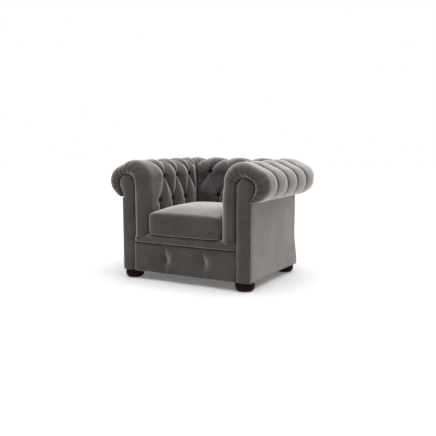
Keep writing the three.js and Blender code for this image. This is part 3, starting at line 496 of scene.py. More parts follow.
def back_creases(sizes):
    """Creases and tufts of the back, from its middle to both sides."""
    low, high, crest = back_path.keys[1:4]
    pitch, tuft, fold = sizes.back_pitch / MM, sizes.tuft_depth / MM, sizes.crease_depth / MM
    half = pitch / 2
    lower, rising = (LOW_DEPTH, tuft), (tuft, CREST_DEPTH)
    creases, tufts = [], [(0, high)]
    for side in (-1, 1):
        corner, corner_high = (side * KEY_RING[1, 0], low), (side * KEY_RING[2, 0], high)
        low_at, high_at = (side * half, low), (side * pitch, high)
        near, far = (side * half, crest), (side * (half + pitch), crest)
        creases += [
            (low_at, (side * half, 0), (LOW_DEPTH, PLEAT_END), None),
            (low_at, (0, high), lower, fold), (low_at, high_at, lower, fold),
            (corner, high_at, lower, fold), ((0, high), near, rising, fold),
            (high_at, near, rising, fold), (high_at, far, rising, fold),
            (corner_high, far, rising, fold)]
        creases += roll_pleats(near[0], back_path) + roll_pleats(far[0], back_path)
        tufts += [low_at, high_at, near, far, corner, corner_high]
    return creases, tufts


# Covers of the arms and the back

def pad_grid(path, mitre, rows, run, away, seam, seam_normal, creases, seam_shade):
    """Points of a pad as (outwards, run, up), and their painted shade near creases and the seam.
    The section's place and direction are eased to the seam's by the square of the nearness to
    it. Taken off along that direction is the depth of the creases, which gives way to the
    seam's over the width of a lump, or PAD_THICK if there are none, which makes a lining."""
    length = path.length(rows)
    if creases is None:
        depth, close = np.full(run.shape, PAD_THICK), None
    else:
        depth, close = crease_field(run, length[None, :], *creases)
        near = 1 - ramp(away, LUMP_HALF)
        depth = np.maximum(depth * (1 - near ** 4), mitre.depth * valley(away, LUMP_HALF))
        # Painted shade along the seam
        close = np.maximum(close, seam_shade)
    out, z, out_normal, up_normal = path.at(length)
    turn = ramp(1 - away / MITRE_EASE) ** 2
    normal = np.stack([mix(out_normal, seam_normal[0], turn), turn * seam_normal[1],
                       mix(up_normal, seam_normal[2], turn)], -1)
    normal /= np.linalg.norm(normal, axis=-1, keepdims=True)
    place = np.stack([mix(out, seam, turn), run, mix(z, mitre.z, turn)], -1)
    return place - normal * depth[..., None], close


def facing_outline(clear, bottom):
    """Column with a round head that hangs over on the outside, from the inner foot round."""
    out, height, radius = FACING_HEAD
    head = arc((out, height), radius + clear, math.pi, -math.pi / 5, 48)
    share = np.linspace(0, 1, 13)[1:]
    column = FACING_OUTER + clear
    (neck_out, neck_z), down = head[-1], smooth(share)
    back = np.stack([mix(neck_out, column, down), mix(neck_z, FACING_RETURN, share)], 1)
    return np.concatenate([[[FACING_INNER - clear, bottom]], head, back, [[column, bottom]]])


def facing_targets(length):
    """Where the cover's rows end at the facing: level up the column, then shared out evenly
    round the head."""
    edge = facing_outline(GAP, BAND_BOTTOM)[:-1]
    lengths = lengths_along(edge)
    column = FACING_HEAD[1] - PAD_BOTTOM
    share = np.where(
        length <= column, length / column * lengths[1],
        mix(lengths[1], lengths[-1], (length - column) / (arm_path.keys[5] - column)))
    share = np.clip(share, 0, lengths[-1])
    return [np.interp(share, lengths, axis) for axis in edge.T]


def round_head(length):
    """Share of the way from the high tufts over the roll to its underside."""
    high, under = arm_path.keys[2], arm_path.keys[5]
    return (length - high) / (under - high)


def band_edge(length):
    """Radius of the arm front's rounding, which shrinks over the first half of the roll."""
    return mix(BAND_INSIDE, BAND_EDGE, smooth(ramp(2 * round_head(length))))


def arm_band(reach, length, sizes):
    """Cover of the arm front: from the full section (reach 0) over an edge of quarter-circle
    form and down to the crease beside the facing (reach 1). Round the head it is gathered by
    a raised cosine, whose folds grow towards the facing and die out in the crease. Below, it
    bows forward by a half sine. Also returns the cosine."""
    out, z, _, _ = arm_path.at(length)
    target_out, target_z = facing_targets(length)
    width = np.hypot(target_out - out, target_z - z)
    inset = reach * width
    turned = np.minimum(band_edge(length), 0.9 * width)
    edge = ramp(inset, turned)
    turned_back = np.minimum(band_edge(length), 1.08 * turned)
    rounded = BAND_FRONT + turned_back * (1 - np.sqrt(1 - (1 - edge) ** 2))
    falling = ramp(inset - turned, width - turned) ** BAND_FALL
    head = ramp(round_head(length))
    phase = sizes.gathers * head + GATHER_DRIFT * np.sin(GATHER_DRIFTS * head)
    wave = 0.5 - 0.5 * np.cos(2 * np.pi * phase)
    starting = smooth(ramp(length - arm_path.keys[2], GATHER_FROM))
    gather = starting * GATHER_HEIGHT * reach ** 0.6 * wave ** 3
    y = mix(rounded, BAND_CREASE, falling) + gather * (1 - 0.7 * falling)
    y -= BAND_CROWN * np.sin(np.pi * reach) * (1 - head)
    column = 1 - ramp(z - PAD_BOTTOM, FACING_HEAD[1] - PAD_BOTTOM)
    lift = np.where(head > 0, 0, (BAND_BOTTOM - PAD_BOTTOM) * column)
    foot = z + lift * smooth(ramp(reach, 0.3))
    return points_of(mix(out, target_out, reach), y, mix(foot, target_z, reach)), wave


def arm_cover(sizes, lining=False):
    """Grid of an arm's cover from the facing to the mitre, or of its lining at PAD_THICK
    below it. Also returns the painted shade in its creases, gathers and seams."""
    stride = STRIDE if lining else 1
    rows = ROWS[::stride]
    mitre = Mitre(rows)
    length = arm_path.length(rows)
    even_end = FIRST_TUFT + sizes.arm_pitch / MM * (ARM_LOW_TUFTS - 0.5)
    reach = (np.linspace(1, 0, 29)[:-1] ** 1.6)[::stride, None]
    even = np.linspace(0, 1, 161)[::stride, None]
    last = np.linspace(0, 1, 57)[stride::stride, None]
    run = np.concatenate([
        mix(BAND_FRONT + band_edge(length), even_end, even), mix(even_end, mitre.y, last)])
    away = mitre.y - run
    # Painted shade along the mitre seam goes in as the last argument
    body, close = pad_grid(
        arm_path, mitre, rows, run, away, mitre.x, mitre.normal.T,
        None if lining else arm_creases(sizes), ARM_SEAM_SHADE * bell(away, ARM_SEAM_HALF))
    body[-1, :, 1] -= MITRE_STOP
    band, wave = arm_band(reach, length, sizes)
    if lining:
        band = mix(body[0], band[0], reach[..., None])
        band[..., 1] = BODY_FRONT - GAP
        body[..., 1] = np.maximum(body[..., 1], BODY_FRONT)
        return np.concatenate([band, body]), None
    # Painted shade in the folds of the gathers and in the crease beside the facing
    gathers = GATHER_SHADE * wave ** 12 * reach ** 0.7
    in_band = BAND_SEAM_SHADE * bell(1 - reach, BAND_SEAM_HALF) + gathers
    return np.concatenate([band, body]), np.concatenate([in_band, close])


def back_cover(sizes, lining=False):
    """Grid of the back's cover between the two mitres, or of its lining."""
    stride = STRIDE if lining else 1
    rows = ROWS[::stride]
    mitre = Mitre(rows)
    even_end = sizes.back_pitch / MM
    even = np.linspace(-even_end, even_end, 121)[::stride, None]
    side = mix(even_end, mitre.x, np.linspace(0, 1, 57)[stride::stride, None])
    run = np.concatenate([-side[::-1], np.broadcast_to(even, (len(even), len(rows))), side])
    away = mitre.x - np.abs(run)
    along = np.where(run < 0, -1, 1) * mitre.normal[:, 0]
    # Painted shade along the two mitre seams goes in as the last argument
    body, close = pad_grid(
        back_path, mitre, rows, run, away, mitre.y,
        (mitre.normal[:, 1], along, mitre.normal[:, 2]),
        None if lining else back_creases(sizes), bell(away, BACK_SEAM_HALF))
    body[0, :, 1] += MITRE_STOP
    body[-1, :, 1] -= MITRE_STOP
    return body[..., (1, 0, 2)], close


# Facings, border and lip

def facing_grids():
    """Front of a facing: chords from its inner to its outer edge, swelling forward by the
    root of (1 - place on the chord squared), less as the chords shorten over the head. Below
    the head its outer half is squarer, by a superellipse, and wraps over the outside panel's
    end. Each side runs back in 8 steps."""
    outline = facing_outline(0, BODY_BOTTOM)
    top = int(np.argmax(outline[:, 1]))
    left, right = sample(outline[:top + 1], 165)[:161], sample(outline[top:][::-1], 165)[:161]
    across = np.sin(np.linspace(-math.pi / 2, math.pi / 2, 49))[:, None]
    middle, half = (left + right) / 2, (right - left) / 2
    x, z = (middle[:, i] + across * half[:, i] for i in (0, 1))
    chord = ramp(np.hypot(*half.T), (FACING_OUTER - FACING_INNER) / 2)
    foot = np.sqrt(mix(0.75, 1, ramp(z - BODY_BOTTOM, 12)))
    height, wave_z, wave_x = FACING_WRINKLE
    wrinkle = height * np.sin(z / wave_z + 2) * np.sin(x / wave_x)
    wrap = ramp(FACING_RETURN - z, 12) * (across > 0)
    x = x + wrap * ((np.abs(across) ** 0.6 - across) * half[:, 0] + FACING_WRAP * across)
    swell = (1 - across ** 2) ** mix(0.5, 0.3, wrap) * chord * foot
    y = FACING_SEAM - (FACING_SWELL + wrinkle) * swell

    def side(edge):
        depth = np.linspace(BODY_FRONT - 4 * GAP, FACING_SEAM, 9)[:-1, None]
        return points_of(edge[:, 0], depth, edge[:, 1])

    front = np.concatenate([side(left), np.stack([x, y, z], -1), side(right)[::-1]])
    # Painted shade: full on the sides that run back, and in the recesses along the front's edges
    close = np.ones(front.shape[:2])
    close[8:-8] = bell(1 - np.abs(across), 0.02) * (1 - 0.7 * wrap)
    return front, lining_of(front, 1, BODY_FRONT - GAP), close


def border_grids():
    """Front border: three pillows with a parabola as their section, and a tuft drawn in by a
    bell of its own on each seam between them."""
    half = FACING_INNER - GAP
    x, z = np.meshgrid(np.linspace(-half, half, 221),
                       np.linspace(BODY_BOTTOM + GAP, BORDER_TOP, 61), indexing="ij")
    from_tuft = np.abs(x) - BORDER_TUFT
    across = ramp(np.abs(from_tuft), BORDER_TUFT)
    fold = BORDER_TUFT * np.hypot(across, 0.03)
    depth = BORDER_SEAM * (1 - across) ** 2 + BORDER_FOLD * bell(fold, 9)
    depth += BORDER_PIT * bell(
        np.hypot(from_tuft / BORDER_PIT_ACROSS, (z - BORDER_TUFT_HEIGHT) / BORDER_PIT_UP), 1)
    rise = hump(z, BODY_BOTTOM, BORDER_TOP, 0.5)
    ends = np.sqrt(ramp(half - np.abs(x), 16))
    y = FACING_FRONT + 4 - BORDER_SWELL * rise * ends
    y += np.minimum(depth, BORDER_DEEPEST) * (0.4 + 0.6 * rise)
    height, wave_x, wave_z = BORDER_WRINKLE
    y += height * np.sin(x / wave_x) * np.sin(z / wave_z) * rise
    front = np.stack([x, y, z], -1)
    # Painted shade, faint along the tufts' folds and full under the lip at the top
    close = np.maximum(0.2 * bell(fold, 5), bell(BORDER_TOP - z, 5))
    return front, lining_of(front, 1, BODY_FRONT - GAP), close


def lip_grids():
    """Nosing over the front of the seat: an oval section, fuller above and drawn in at its
    seam, that runs back as a flap under the cushion."""
    half = FACING_INNER - GAP
    turn = np.linspace(-LIP_TUCK, math.pi / 2, 41)
    nose = BORDER_TOP + GAP + LIP_NOSE
    down = np.where(turn < 0, LIP_NOSE / math.sin(LIP_TUCK), LIP_TOP - nose)
    y = mix(BODY_FRONT, LIP_FRONT, np.cos(turn) ** np.where(turn < 0, 0.7, 0.85))
    y = np.concatenate([y, np.linspace(BODY_FRONT, FLAP_REAR, 9)[1:]])
    z = np.concatenate([nose + down * np.sin(turn), np.full(8, LIP_TOP)])
    x = np.linspace(-half, half, 161)[:, None]
    ends = np.sqrt(ramp(half - np.abs(x), 22))
    ripple = 0.7 * np.sin(x / 29) + 0.4 * np.sin(x / 13 + 1)
    forward = ramp(BODY_FRONT - y, BODY_FRONT - LIP_FRONT)
    rolled = y + (1 - ends) * LIP_ENDS + ripple * forward
    grid = points_of(x, np.where(y < BODY_FRONT, rolled, y), z)
    grid[:, len(turn):, 0] *= FLAP_HALF / half
    lining = grid[::STRIDE, ::STRIDE].copy()
    lining[..., 1] = np.maximum(lining[..., 1], BODY_FRONT - GAP)
    under = np.minimum(lining[..., 2], LIP_TOP - LIP_THICK)
    under = np.where(lining[..., 1] > BODY_FRONT, LIP_TOP - LIP_THICK, under)
    lining[..., 2] = np.maximum(under, LIP_RAIL)
    # Painted shade along the seam with the border below
    return grid, lining, np.broadcast_to(bell(z - BORDER_TOP, 4), grid.shape[:2])


# Outside panels and deck

def panel_grids(plan, inner_plan, seed):
    """An outside panel: a plan line raised from the foot to the frame top, swelling a little
    away from its tacked edges, turned under at the foot and flared there towards the rear."""
    columns = 161
    plan = sample(plan, columns)
    inner_x, inner_y = sample(inner_plan, (columns - 1) // STRIDE + 1).T[..., None]
    z = np.linspace(BODY_BOTTOM, FRAME_TOP - GAP, 97)
    step = np.gradient(plan, axis=0)
    normal = np.stack([step[:, 1], -step[:, 0]], 1) / np.linalg.norm(step, axis=1, keepdims=True)
    across = np.linspace(0, 1, columns)[:, None]
    rise = hump(z, BODY_BOTTOM, FRAME_TOP, PANEL_FULL)
    swell = PANEL_SWELL * hump(across, 0, 1, PANEL_FULL) * rise
    swell += PANEL_WRINKLE * np.sin(across * 15 + seed) * np.sin(z / 70 + seed) * rise
    swell -= PANEL_TURN * np.exp(-(z - BODY_BOTTOM) / 3)
    x, y = (plan[:, None, i] + normal[:, None, i] * swell for i in (0, 1))
    flare = FLARE * smooth(ramp(FLARE_TOP - z, FLARE_TOP - BODY_BOTTOM))
    flare = flare * smooth(ramp(y, BODY_REAR))
    cover = points_of(x * (1 + flare / BODY_HALF), y + flare, z)
    lining = points_of(inner_x, inner_y, z[::STRIDE])
    # Painted shade where the panel turns under at the foot
    return cover, lining, np.broadcast_to(bell(z - BODY_BOTTOM, 4), x.shape)


def slab_grids(low, high, crown):
    """A thin pad in its box with a crowned top, its crown the root of the product of two half
    sines."""
    across, along = (np.linspace(low[i], high[i], 97) for i in (0, 1))
    x, y = np.meshgrid(across, along, indexing="ij")
    bow = np.sin(np.pi * (x - low[0]) / (high[0] - low[0]))
    bow = bow * np.sin(np.pi * (y - low[1]) / (high[1] - low[1]))
    top = np.stack([x, y, high[2] - crown + crown * bow.clip(0, 1) ** 0.5], -1)
    return top, lining_of(top, 2, low[2]), np.zeros(x.shape)


# Feet

def foot_profile():
    """Section of a bun foot from the middle of its base: glide seat, flat base, a quarter
    ellipse out to the bulge, a shoulder in to the neck, and the bore of the bolt."""
    base, bulge, top = 1.2, 31.6, BODY_BOTTOM - GAP
    glide, glide_seat, rounding = 22.3, 4.3, 0.6
    flat, widest, neck = 35.0, 57.0, 44.0
    bore, bore_end, axis = 4.3, top - 30.3, 0.4
    share = np.linspace(0, math.pi / 2, 17)
    swell = np.stack([mix(flat, widest, np.sin(share)), mix(base, bulge, 1 - np.cos(share))], 1)
    shoulder = np.stack([mix(widest, neck, 1 - np.cos(share)), mix(bulge, top, np.sin(share))], 1)
    inside = [[axis, glide_seat], [glide, glide_seat], [glide, base + rounding],
              [glide + rounding, base]]
    bored = [[bore, top], [bore, bore_end], [axis, bore_end]]
    return np.concatenate([inside, swell, shoulder[1:], bored])


def turned_object(name, profile, centre, sides=72):
    """Closed turned piece: the profile round the axis, its two ends closed by one face each."""
    turn = np.linspace(0, 2 * np.pi, sides + 1)[:-1]
    radius, height = profile.T[..., None]
    grid = points_of(centre[0] + radius * np.cos(turn), centre[1] + radius * np.sin(turn), height)
    at = np.arange(len(profile) * sides).reshape(-1, sides)
    ahead = np.roll(at, -1, axis=1)
    quads = np.stack([at[:-1], ahead[:-1], ahead[1:], at[1:]], -1).reshape(-1, 4)
    faces = quads.tolist() + [at[0, ::-1].tolist(), at[-1].tolist()]
    return new_object(name, to_frame(grid.reshape(-1, 3)), faces)


# Seat cushion

def cushion_spread(y, level):
    """How much wider the cushion is in front, where the arm pads curve away from it: most a
    little above half its height, by a parabola."""
    bulge = 1 - 0.55 * (2 * level - 1.1) ** 2
    return CUSHION_SPREAD * bulge * smooth(ramp(SPREAD_FROM - y, SPREAD_OVER))


def cushion_form():
    """Starting form of the loose cushion: a box with rounded edges, the plan of a superellipse
    and a crown that falls with the fifth power of the distance across and the cube of that
    along. The rings run from the top's middle over the edge and under."""
    half, mid, deep = CUSHION_HALF, CUSHION_MID, CUSHION_DEEP
    turn = np.linspace(0, 2 * np.pi, 241)[:-1]
    bulk = np.abs(np.cos(turn)) ** CUSHION_SQUARE + np.abs(np.sin(turn)) ** CUSHION_SQUARE
    bulk = bulk ** (-1 / CUSHION_SQUARE)
    round_off = np.linspace(0, math.pi / 2, 8)
    over, under = CUSHION_OVER / half, CUSHION_UNDER / half
    high, low = 1 - CUSHION_OVER / CUSHION_EDGE, CUSHION_UNDER / CUSHION_EDGE
    sides = np.linspace(high, low, 16)[1:-1]
    shares = np.concatenate([
        np.linspace(0, 1 - over, 24)[1:-1], 1 - over + over * np.sin(round_off),
        np.ones(len(sides)),
        1 - under + under * np.cos(round_off), np.linspace(1 - under, 0, 24)[1:-1]])[:, None]
    levels = np.concatenate([
        np.ones(22), high + (1 - high) * np.cos(round_off), sides,
        low * (1 - np.sin(round_off)), np.zeros(22)])[:, None]
    x = half * shares * bulk * np.cos(turn)
    y = mid + deep * shares * bulk * np.sin(turn)
    x *= 1 + cushion_spread(y, levels) / half
    crown = CUSHION_CROWN * (1 - ramp(np.abs(x / half)) ** 5)
    crown = crown * (1 - ramp(np.abs((y - mid) / deep)) ** 3)
    rings = np.stack([x, y, CUSHION_BASE + levels * (CUSHION_EDGE + crown)], -1)
    middles = [[0, mid, CUSHION_BASE + CUSHION_EDGE + CUSHION_CROWN], [0, mid, CUSHION_BASE]]
    m, n = x.shape
    at = np.arange(m * n).reshape(m, n)
    ahead = np.roll(at, -1, axis=1)
    faces = np.stack([at[:-1], at[1:], ahead[1:], ahead[:-1]], -1).reshape(-1, 4).tolist()
    faces += np.stack([np.full(n, m * n), at[0], ahead[0]], -1).tolist()
    faces += np.stack([np.full(n, m * n + 1), ahead[-1], at[-1]], -1).tolist()
    return to_frame(np.concatenate([rings.reshape(-1, 3), middles])), faces


def cushion_seams(points):
    """How firmly the seams hold each point of the box cushion: fully along the underside,
    mostly along the top between the corners, and not at all elsewhere."""
    x, y, z = to_drawing(points).T
    across, along = np.abs(x) / CUSHION_HALF, np.abs(y - CUSHION_MID) / CUSHION_DEEP
    side = (across ** CUSHION_SQUARE + along ** CUSHION_SQUARE) ** (1 / CUSHION_SQUARE)
    low = (side > 0.96) & (z < CUSHION_BASE + CUSHION_UNDER / 2)
    corner = (across > 0.88) & (along > 0.9)
    top = (side > 0.93) & (z > CUSHION_BASE + CUSHION_EDGE - CUSHION_OVER) & ~corner
    return np.where(low, 1.0, np.where(top, TOP_SEAM, 0.0))


def vertex_places(mesh):
    places = np.zeros(len(mesh.vertices) * 3, np.float32)
    mesh.vertices.foreach_get("co", places)
    return places.reshape(-1, 3)


def even_form(name, points, faces, voxel=0.006):
    """A closed form remeshed with even faces."""
    start = new_object(name + "_form", points, faces)
    remesh = start.modifiers.new("Even mesh", "REMESH")
    remesh.mode, remesh.voxel_size, remesh.use_smooth_shade = "VOXEL", voxel, True
    graph = bpy.context.evaluated_depsgraph_get()
    mesh = bpy.data.meshes.new_from_object(start.evaluated_get(graph))
    bpy.data.objects.remove(start)
    mesh.name = name
    return linked(name, mesh)


def blown_up(made, pressure, hold):
    """Places of an object's points after it is filled as cloth, without gravity, and held at
    its seams."""
    sewn = made.vertex_groups.new(name="Seams")
    for weight in (TOP_SEAM, 1.0):
        sewn.add(np.flatnonzero(hold == weight).tolist(), weight, "REPLACE")
    cloth = made.modifiers.new("Filling", "CLOTH")
    settings = cloth.settings
    settings.vertex_group_mass = "Seams"
    settings.quality = 5
    settings.mass = 0.3
    settings.tension_stiffness = settings.compression_stiffness = 12
    settings.bending_stiffness = 0.6
    settings.use_pressure = True
    settings.uniform_pressure_force = pressure
    settings.effector_weights.gravity = 0
    cloth.point_cache.frame_end = CLOTH_FRAMES
    scene = bpy.context.scene
    for number in range(1, CLOTH_FRAMES + 1):
        scene.frame_set(number)
    filled = made.evaluated_get(bpy.context.evaluated_depsgraph_get())
    moved = vertex_places(filled.to_mesh())
    filled.to_mesh_clear()
    made.modifiers.remove(cloth)
    scene.frame_set(1)
    return moved.astype(float)


def taut(mesh, step):
    """Movements of a mesh's points, each averaged with its neighbours' again and again, with
    a share of the differences put back as wrinkles."""
    ends = np.zeros(len(mesh.edges) * 2, np.int32)
    mesh.edges.foreach_get("vertices", ends)
    first, second = ends.reshape(-1, 2).T

    def gathered(values_first, values_second):
        count = len(step)
        return np.bincount(first, values_second, count) + np.bincount(second, values_first, count)

    number = gathered(np.ones(len(first)), np.ones(len(first)))[:, None]
    swell = step
    for _ in range(TAUT_ROUNDS):
        near = np.stack([gathered(axis[first], axis[second]) for axis in swell.T], 1)
        swell = (swell + near / number) / 2
    return mix(swell, step, WRINKLE_SHARE)


def swollen(name, points, faces, pressure, limit, seams):
    """A padded piece and the places of its points: its form is blown up as cloth, and how far
    each point moved is limited and made taut."""
    made = even_form(name, points, faces)
    rest = vertex_places(made.data)
    step = blown_up(made, pressure, seams(rest)) - rest.astype(float)
    size = np.linalg.norm(step, axis=1, keepdims=True)
    step *= np.minimum(1, limit / np.maximum(size, 1e-9))
    return made, rest + taut(made.data, step)


# Shader values

class Value:
    """A value in a node tree. Each sum of values, or of values and numbers, adds a Math node."""

    def __init__(self, nodes, socket):
        self.nodes, self.socket = nodes, socket

    def sum_of(self, operation, first, second):
        return self.nodes.node("ShaderNodeMath", {"operation": operation}, {0: first, 1: second})

    def __add__(self, other):
        return self.sum_of("ADD", self, other)

    def __sub__(self, other):
        return self.sum_of("SUBTRACT", self, other)

    def __rsub__(self, other):
        return self.sum_of("SUBTRACT", other, self)

    def __mul__(self, other):
        return self.sum_of("MULTIPLY", self, other)

    def __pow__(self, other):
        return self.sum_of("POWER", self, other)

    __radd__ = __add__
    __rmul__ = __mul__

    def least(self, other):
        return self.sum_of("MINIMUM", self, other)

    def most(self, other):
        return self.sum_of("MAXIMUM", self, other)


class Nodes:
    """The nodes of a material or a world."""

    def __init__(self, owner):
        owner.use_nodes = True
        self.tree = owner.node_tree

    def node(self, kind, settings=(), inputs=(), output=0):
        """Adds a node: its settings first, then numbers or links to its sockets."""
        made = self.tree.nodes.new(kind)
        for key, value in dict(settings).items():
            setattr(made, key, value)
        for key, value in dict(inputs).items():
            self.feed(made.inputs[key], value)
        return Value(self, made.outputs[output])

    def feed(self, socket, value):
        if isinstance(value, Value):
            self.tree.links.new(value.socket, socket)
        elif socket.type == "RGBA":
            socket.default_value = (*value[:3], 1)
        else:
            socket.default_value = value


class Finish(Nodes):
    """A material and its nodes."""

    def __init__(self, name):
        self.material = bpy.data.materials.new(name)
        super().__init__(self.material)
        self.tree.nodes.clear()
        self.shader = self.tree.nodes.new("ShaderNodeBsdfPrincipled")
        output = self.tree.nodes.new("ShaderNodeOutputMaterial")
        self.tree.links.new(self.shader.outputs[0], output.inputs[0])
        self.place = self.node("ShaderNodeTexCoord", output="Object")

    def set(self, **values):
        for key, value in values.items():
            self.feed(self.shader.inputs[key.replace("_", " ")], value)

    def noise(self, scale, detail=2.0, stretch=None, distortion=0.0):
        at = self.place
        if stretch:
            at = self.node("ShaderNodeMapping", inputs={"Vector": at, "Scale": stretch})
        return self.node("ShaderNodeTexNoise", inputs={
            "Vector": at, "Scale": scale, "Detail": detail, "Distortion": distortion})

    def blend(self, share, first, second):
        """Colour between two colours."""
        inputs = {0: share, 6: first, 7: second}
        return self.node("ShaderNodeMix", {"data_type": "RGBA"}, inputs, 2)

    def bump(self, height, strength, distance):
        self.set(Normal=self.node("ShaderNodeBump", inputs={
            "Height": height, "Strength": strength, "Distance": distance}))

    def spotted(self, scale, dark, light, smoothest, rougher, strength):
        """One noise for the colour, the roughness and the bumps."""
        spots = self.noise(scale, 4.0)
        self.set(Base_Color=self.blend(spots, dark, light), Roughness=smoothest + spots * rougher)
        self.bump(spots, strength, 0.0003)


def velvet_finish(finishes):
    """Dense short pile, brushed in soft patches: dark seen square on, with a painted sheen
    that turns the base colour pale at a slant, and painted shade in the creases and seams."""
    f = Finish("velvet")
    patches = f.noise(5.5, 3.0, distortion=0.8)
    streaks = f.noise(1.0, 3.0, stretch=(55, 55, 14))
    pile = f.noise(250.0, 3.0)
    crease = f.node("ShaderNodeAttribute", {"attribute_name": "crease"}, output="Fac")
    tone = (patches - 0.5) * 1.5 + (streaks - 0.5) * 0.5 + (pile - 0.5) * 3.8 + 0.5
    cover = f.blend(tone.least(1.0).most(0.0), finishes.velvet_dark, finishes.velvet_light)
    # Painted sheen: the base colour turns pale where the surface is seen at a slant
    slant = f.node("ShaderNodeLayerWeight", {}, {"Blend": 0.5}, "Facing")
    painted_sheen = (slant ** 2.4 * (0.2 + patches * 0.4 + pile * 1.2)).least(1.0)
    cover = f.blend(painted_sheen, cover, finishes.velvet_sheen_paint)
    # Painted shade from the crease attribute: darkest in the creases, tufts and seams
    shade = (crease * 0.92).least(1.0)
    f.set(Base_Color=f.blend(shade, cover, finishes.velvet_crease_shade),
          Roughness=0.78 + pile * 0.2, Specular_IOR_Level=0.15,
          Sheen_Weight=finishes.sheen, Sheen_Roughness=0.3, Sheen_Tint=finishes.sheen_colour)
    f.bump(pile * 0.6 + streaks * 0.9 + patches, 0.35, 0.0016)
    return f.material


def hardwood_finish(finishes):
    """Sawn beech: pale rings drawn out along the board, and pores."""
    f = Finish("hardwood")
    rings = f.noise(1.0, 4.0, stretch=(9, 9, 60), distortion=0.5)
    pores = f.noise(1.0, 2.0, stretch=(90, 90, 900))
    colour = f.blend(rings, finishes.wood_light, finishes.wood_dark)
    f.set(Base_Color=f.blend((pores - 0.55).most(0.0) * 1.6, colour, (0.16, 0.09, 0.05)),
          Roughness=0.6 + pores * 0.25)
    f.bump(pores + rings * 0.5, 0.3, 0.0008)
    return f.material


def dark_wood_finish(finishes):
    """Turned feet: stained nearly black-brown under a satin lacquer, rubbed in patches."""
    f = Finish("dark_wood")
    grain = f.noise(1.0, 4.0, stretch=(40, 40, 260), distortion=0.4)
    rub = f.noise(45.0, 3.0)
    f.set(Base_Color=f.blend(grain * 0.7 + rub * 0.2, finishes.foot_dark, finishes.foot_light),
          Roughness=0.42 + rub * 0.15, Specular_IOR_Level=0.08,
          Coat_Weight=0.03, Coat_Roughness=0.25)
    f.bump(grain, 0.15, 0.0004)
    return f.material


def steel_finish(finishes):
    """Drawn spring steel and plated bolts: grey with darker scale."""
    f = Finish("steel")
    f.set(Metallic=1.0)
    f.spotted(60.0, (0.34, 0.34, 0.35), (0.62, 0.62, 0.63), 0.28, 0.25, 0.15)
    return f.material


def hessian_finish(finishes):
    """Plain open weave: two sets of threads as sine waves crossed, with slubs."""
    f = Finish("hessian")
    parts = f.node("ShaderNodeSeparateXYZ", inputs={0: f.place}).socket.node.outputs
    x, y, z = (Value(f, socket) for socket in parts)
    slub = f.noise(26.0, 3.0)

    def threads(value):
        at = (value + slub * 0.004) * 1900.0
        return f.node("ShaderNodeMath", {"operation": "SINE"}, {0: at})

    weave = threads(x + z) * threads(y + z) * 0.5 + 0.5
    tone = weave * 0.7 + slub * 0.3
    f.set(Base_Color=f.blend(tone, (0.2, 0.13, 0.07), (0.5, 0.37, 0.22)), Roughness=0.95)
    f.bump(weave, 0.5, 0.0012)
    return f.material


def lining_finish(finishes):
    """Black non-woven dust cloth with a faint dimple pattern."""
    f = Finish("lining")
    cells = f.node("ShaderNodeTexVoronoi", inputs={"Vector": f.place, "Scale": 420.0})
    fibre = f.noise(180.0, 4.0)
    f.set(Base_Color=f.blend(fibre, (0.012, 0.012, 0.013), (0.04, 0.04, 0.042)),
          Roughness=0.85 + fibre * 0.1)
    f.bump(cells, 0.4, 0.0006)
    return f.material


def nylon_finish(finishes):
    """Moulded glide: off-white with rubbed, slightly duller patches."""
    f = Finish("nylon")
    f.spotted(90.0, (0.62, 0.6, 0.55), (0.78, 0.77, 0.73), 0.4, 0.3, 0.2)
    return f.material


def studio_world():
    """Surrounding light: a white wall behind the chair that fades to a dim room in front. Seen
    directly it is white all round."""
    world = bpy.data.worlds.new("studio")
    nodes = Nodes(world)
    place = nodes.node("ShaderNodeTexCoord", output="Generated")
    y = nodes.node("ShaderNodeSeparateXYZ", inputs={0: place}, output="Y")
    fade = nodes.node("ShaderNodeMapRange", {"interpolation_type": "SMOOTHSTEP"},
                      {0: y, 1: -0.4, 2: 0.6, 3: 0.25, 4: 0.85})
    seen = nodes.node("ShaderNodeLightPath", output="Is Camera Ray")
    light = nodes.tree.nodes["Background"].inputs
    nodes.feed(light["Strength"], fade.most(seen))
    nodes.feed(light["Color"], (1, 1, 1))
    return world


MAKERS = {
    "velvet": velvet_finish, "hardwood": hardwood_finish, "dark_wood": dark_wood_finish,
    "steel": steel_finish, "hessian": hessian_finish, "lining": lining_finish,
    "nylon": nylon_finish,
}
made_finishes = {}


def finish_named(name):
    """The material of that name, made once."""
    if name not in made_finishes:
        made_finishes[name] = MAKERS[name](bpy.context.scene.armchair_finishes)
    return made_finishes[name]


def dress(made, slot, body, nodes):
    """Gives a new piece its material, body and the CAD nodes it stands for."""
    made.data.materials.clear()
    made.data.materials.append(finish_named(slot))
    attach(made, body)
    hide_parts(*nodes)


def dress_pair(name, node, cover, lining, close, fill):
    """A velvet cover of the right side, and its mirror image on the left."""
    for side, turn in (("right", np.copy), ("left", mirrored)):
        made = shell(f"{name}_{side}", turn(cover), turn(lining), close)
        dress(made, "velvet", "root", [f"{node}_{side}"])


# Add-on

def length_of(name, description, default, least, most):
    return FloatProperty(name=name, description=description, default=default, min=least,
                         max=most, subtype="DISTANCE", unit="LENGTH")


def colour_of(name, description, default):
    return FloatVectorProperty(name=name, description=description, default=default,
                               subtype="COLOR", min=0, max=1)


class ArmchairSizes(bpy.types.PropertyGroup):
    """Sizes of the covers that a user may change"""
    arm_pitch: length_of("Arm tuft pitch", "Between tufts along an arm", 0.148, 0.1, 0.2)
    back_pitch: length_of("Back tuft pitch", "Between tufts across the back", 0.175, 0.12, 0.22)
    tuft_depth: length_of("Tuft depth", "How deep the high tufts are drawn in",
                          0.032, 0.005, 0.04)
    crease_depth: length_of("Crease depth", "Depth of a crease midway between tufts",
                            0.021, 0.0, 0.03)
    gathers: IntProperty(name="Gathers", description="Gathers round the head of each arm front",
                         default=11, min=0, max=24)
    cushion_pressure: FloatProperty(name="Cushion filling", default=4.0, min=0.0, max=12.0,
                                    description="Pressure that fills the cushion")


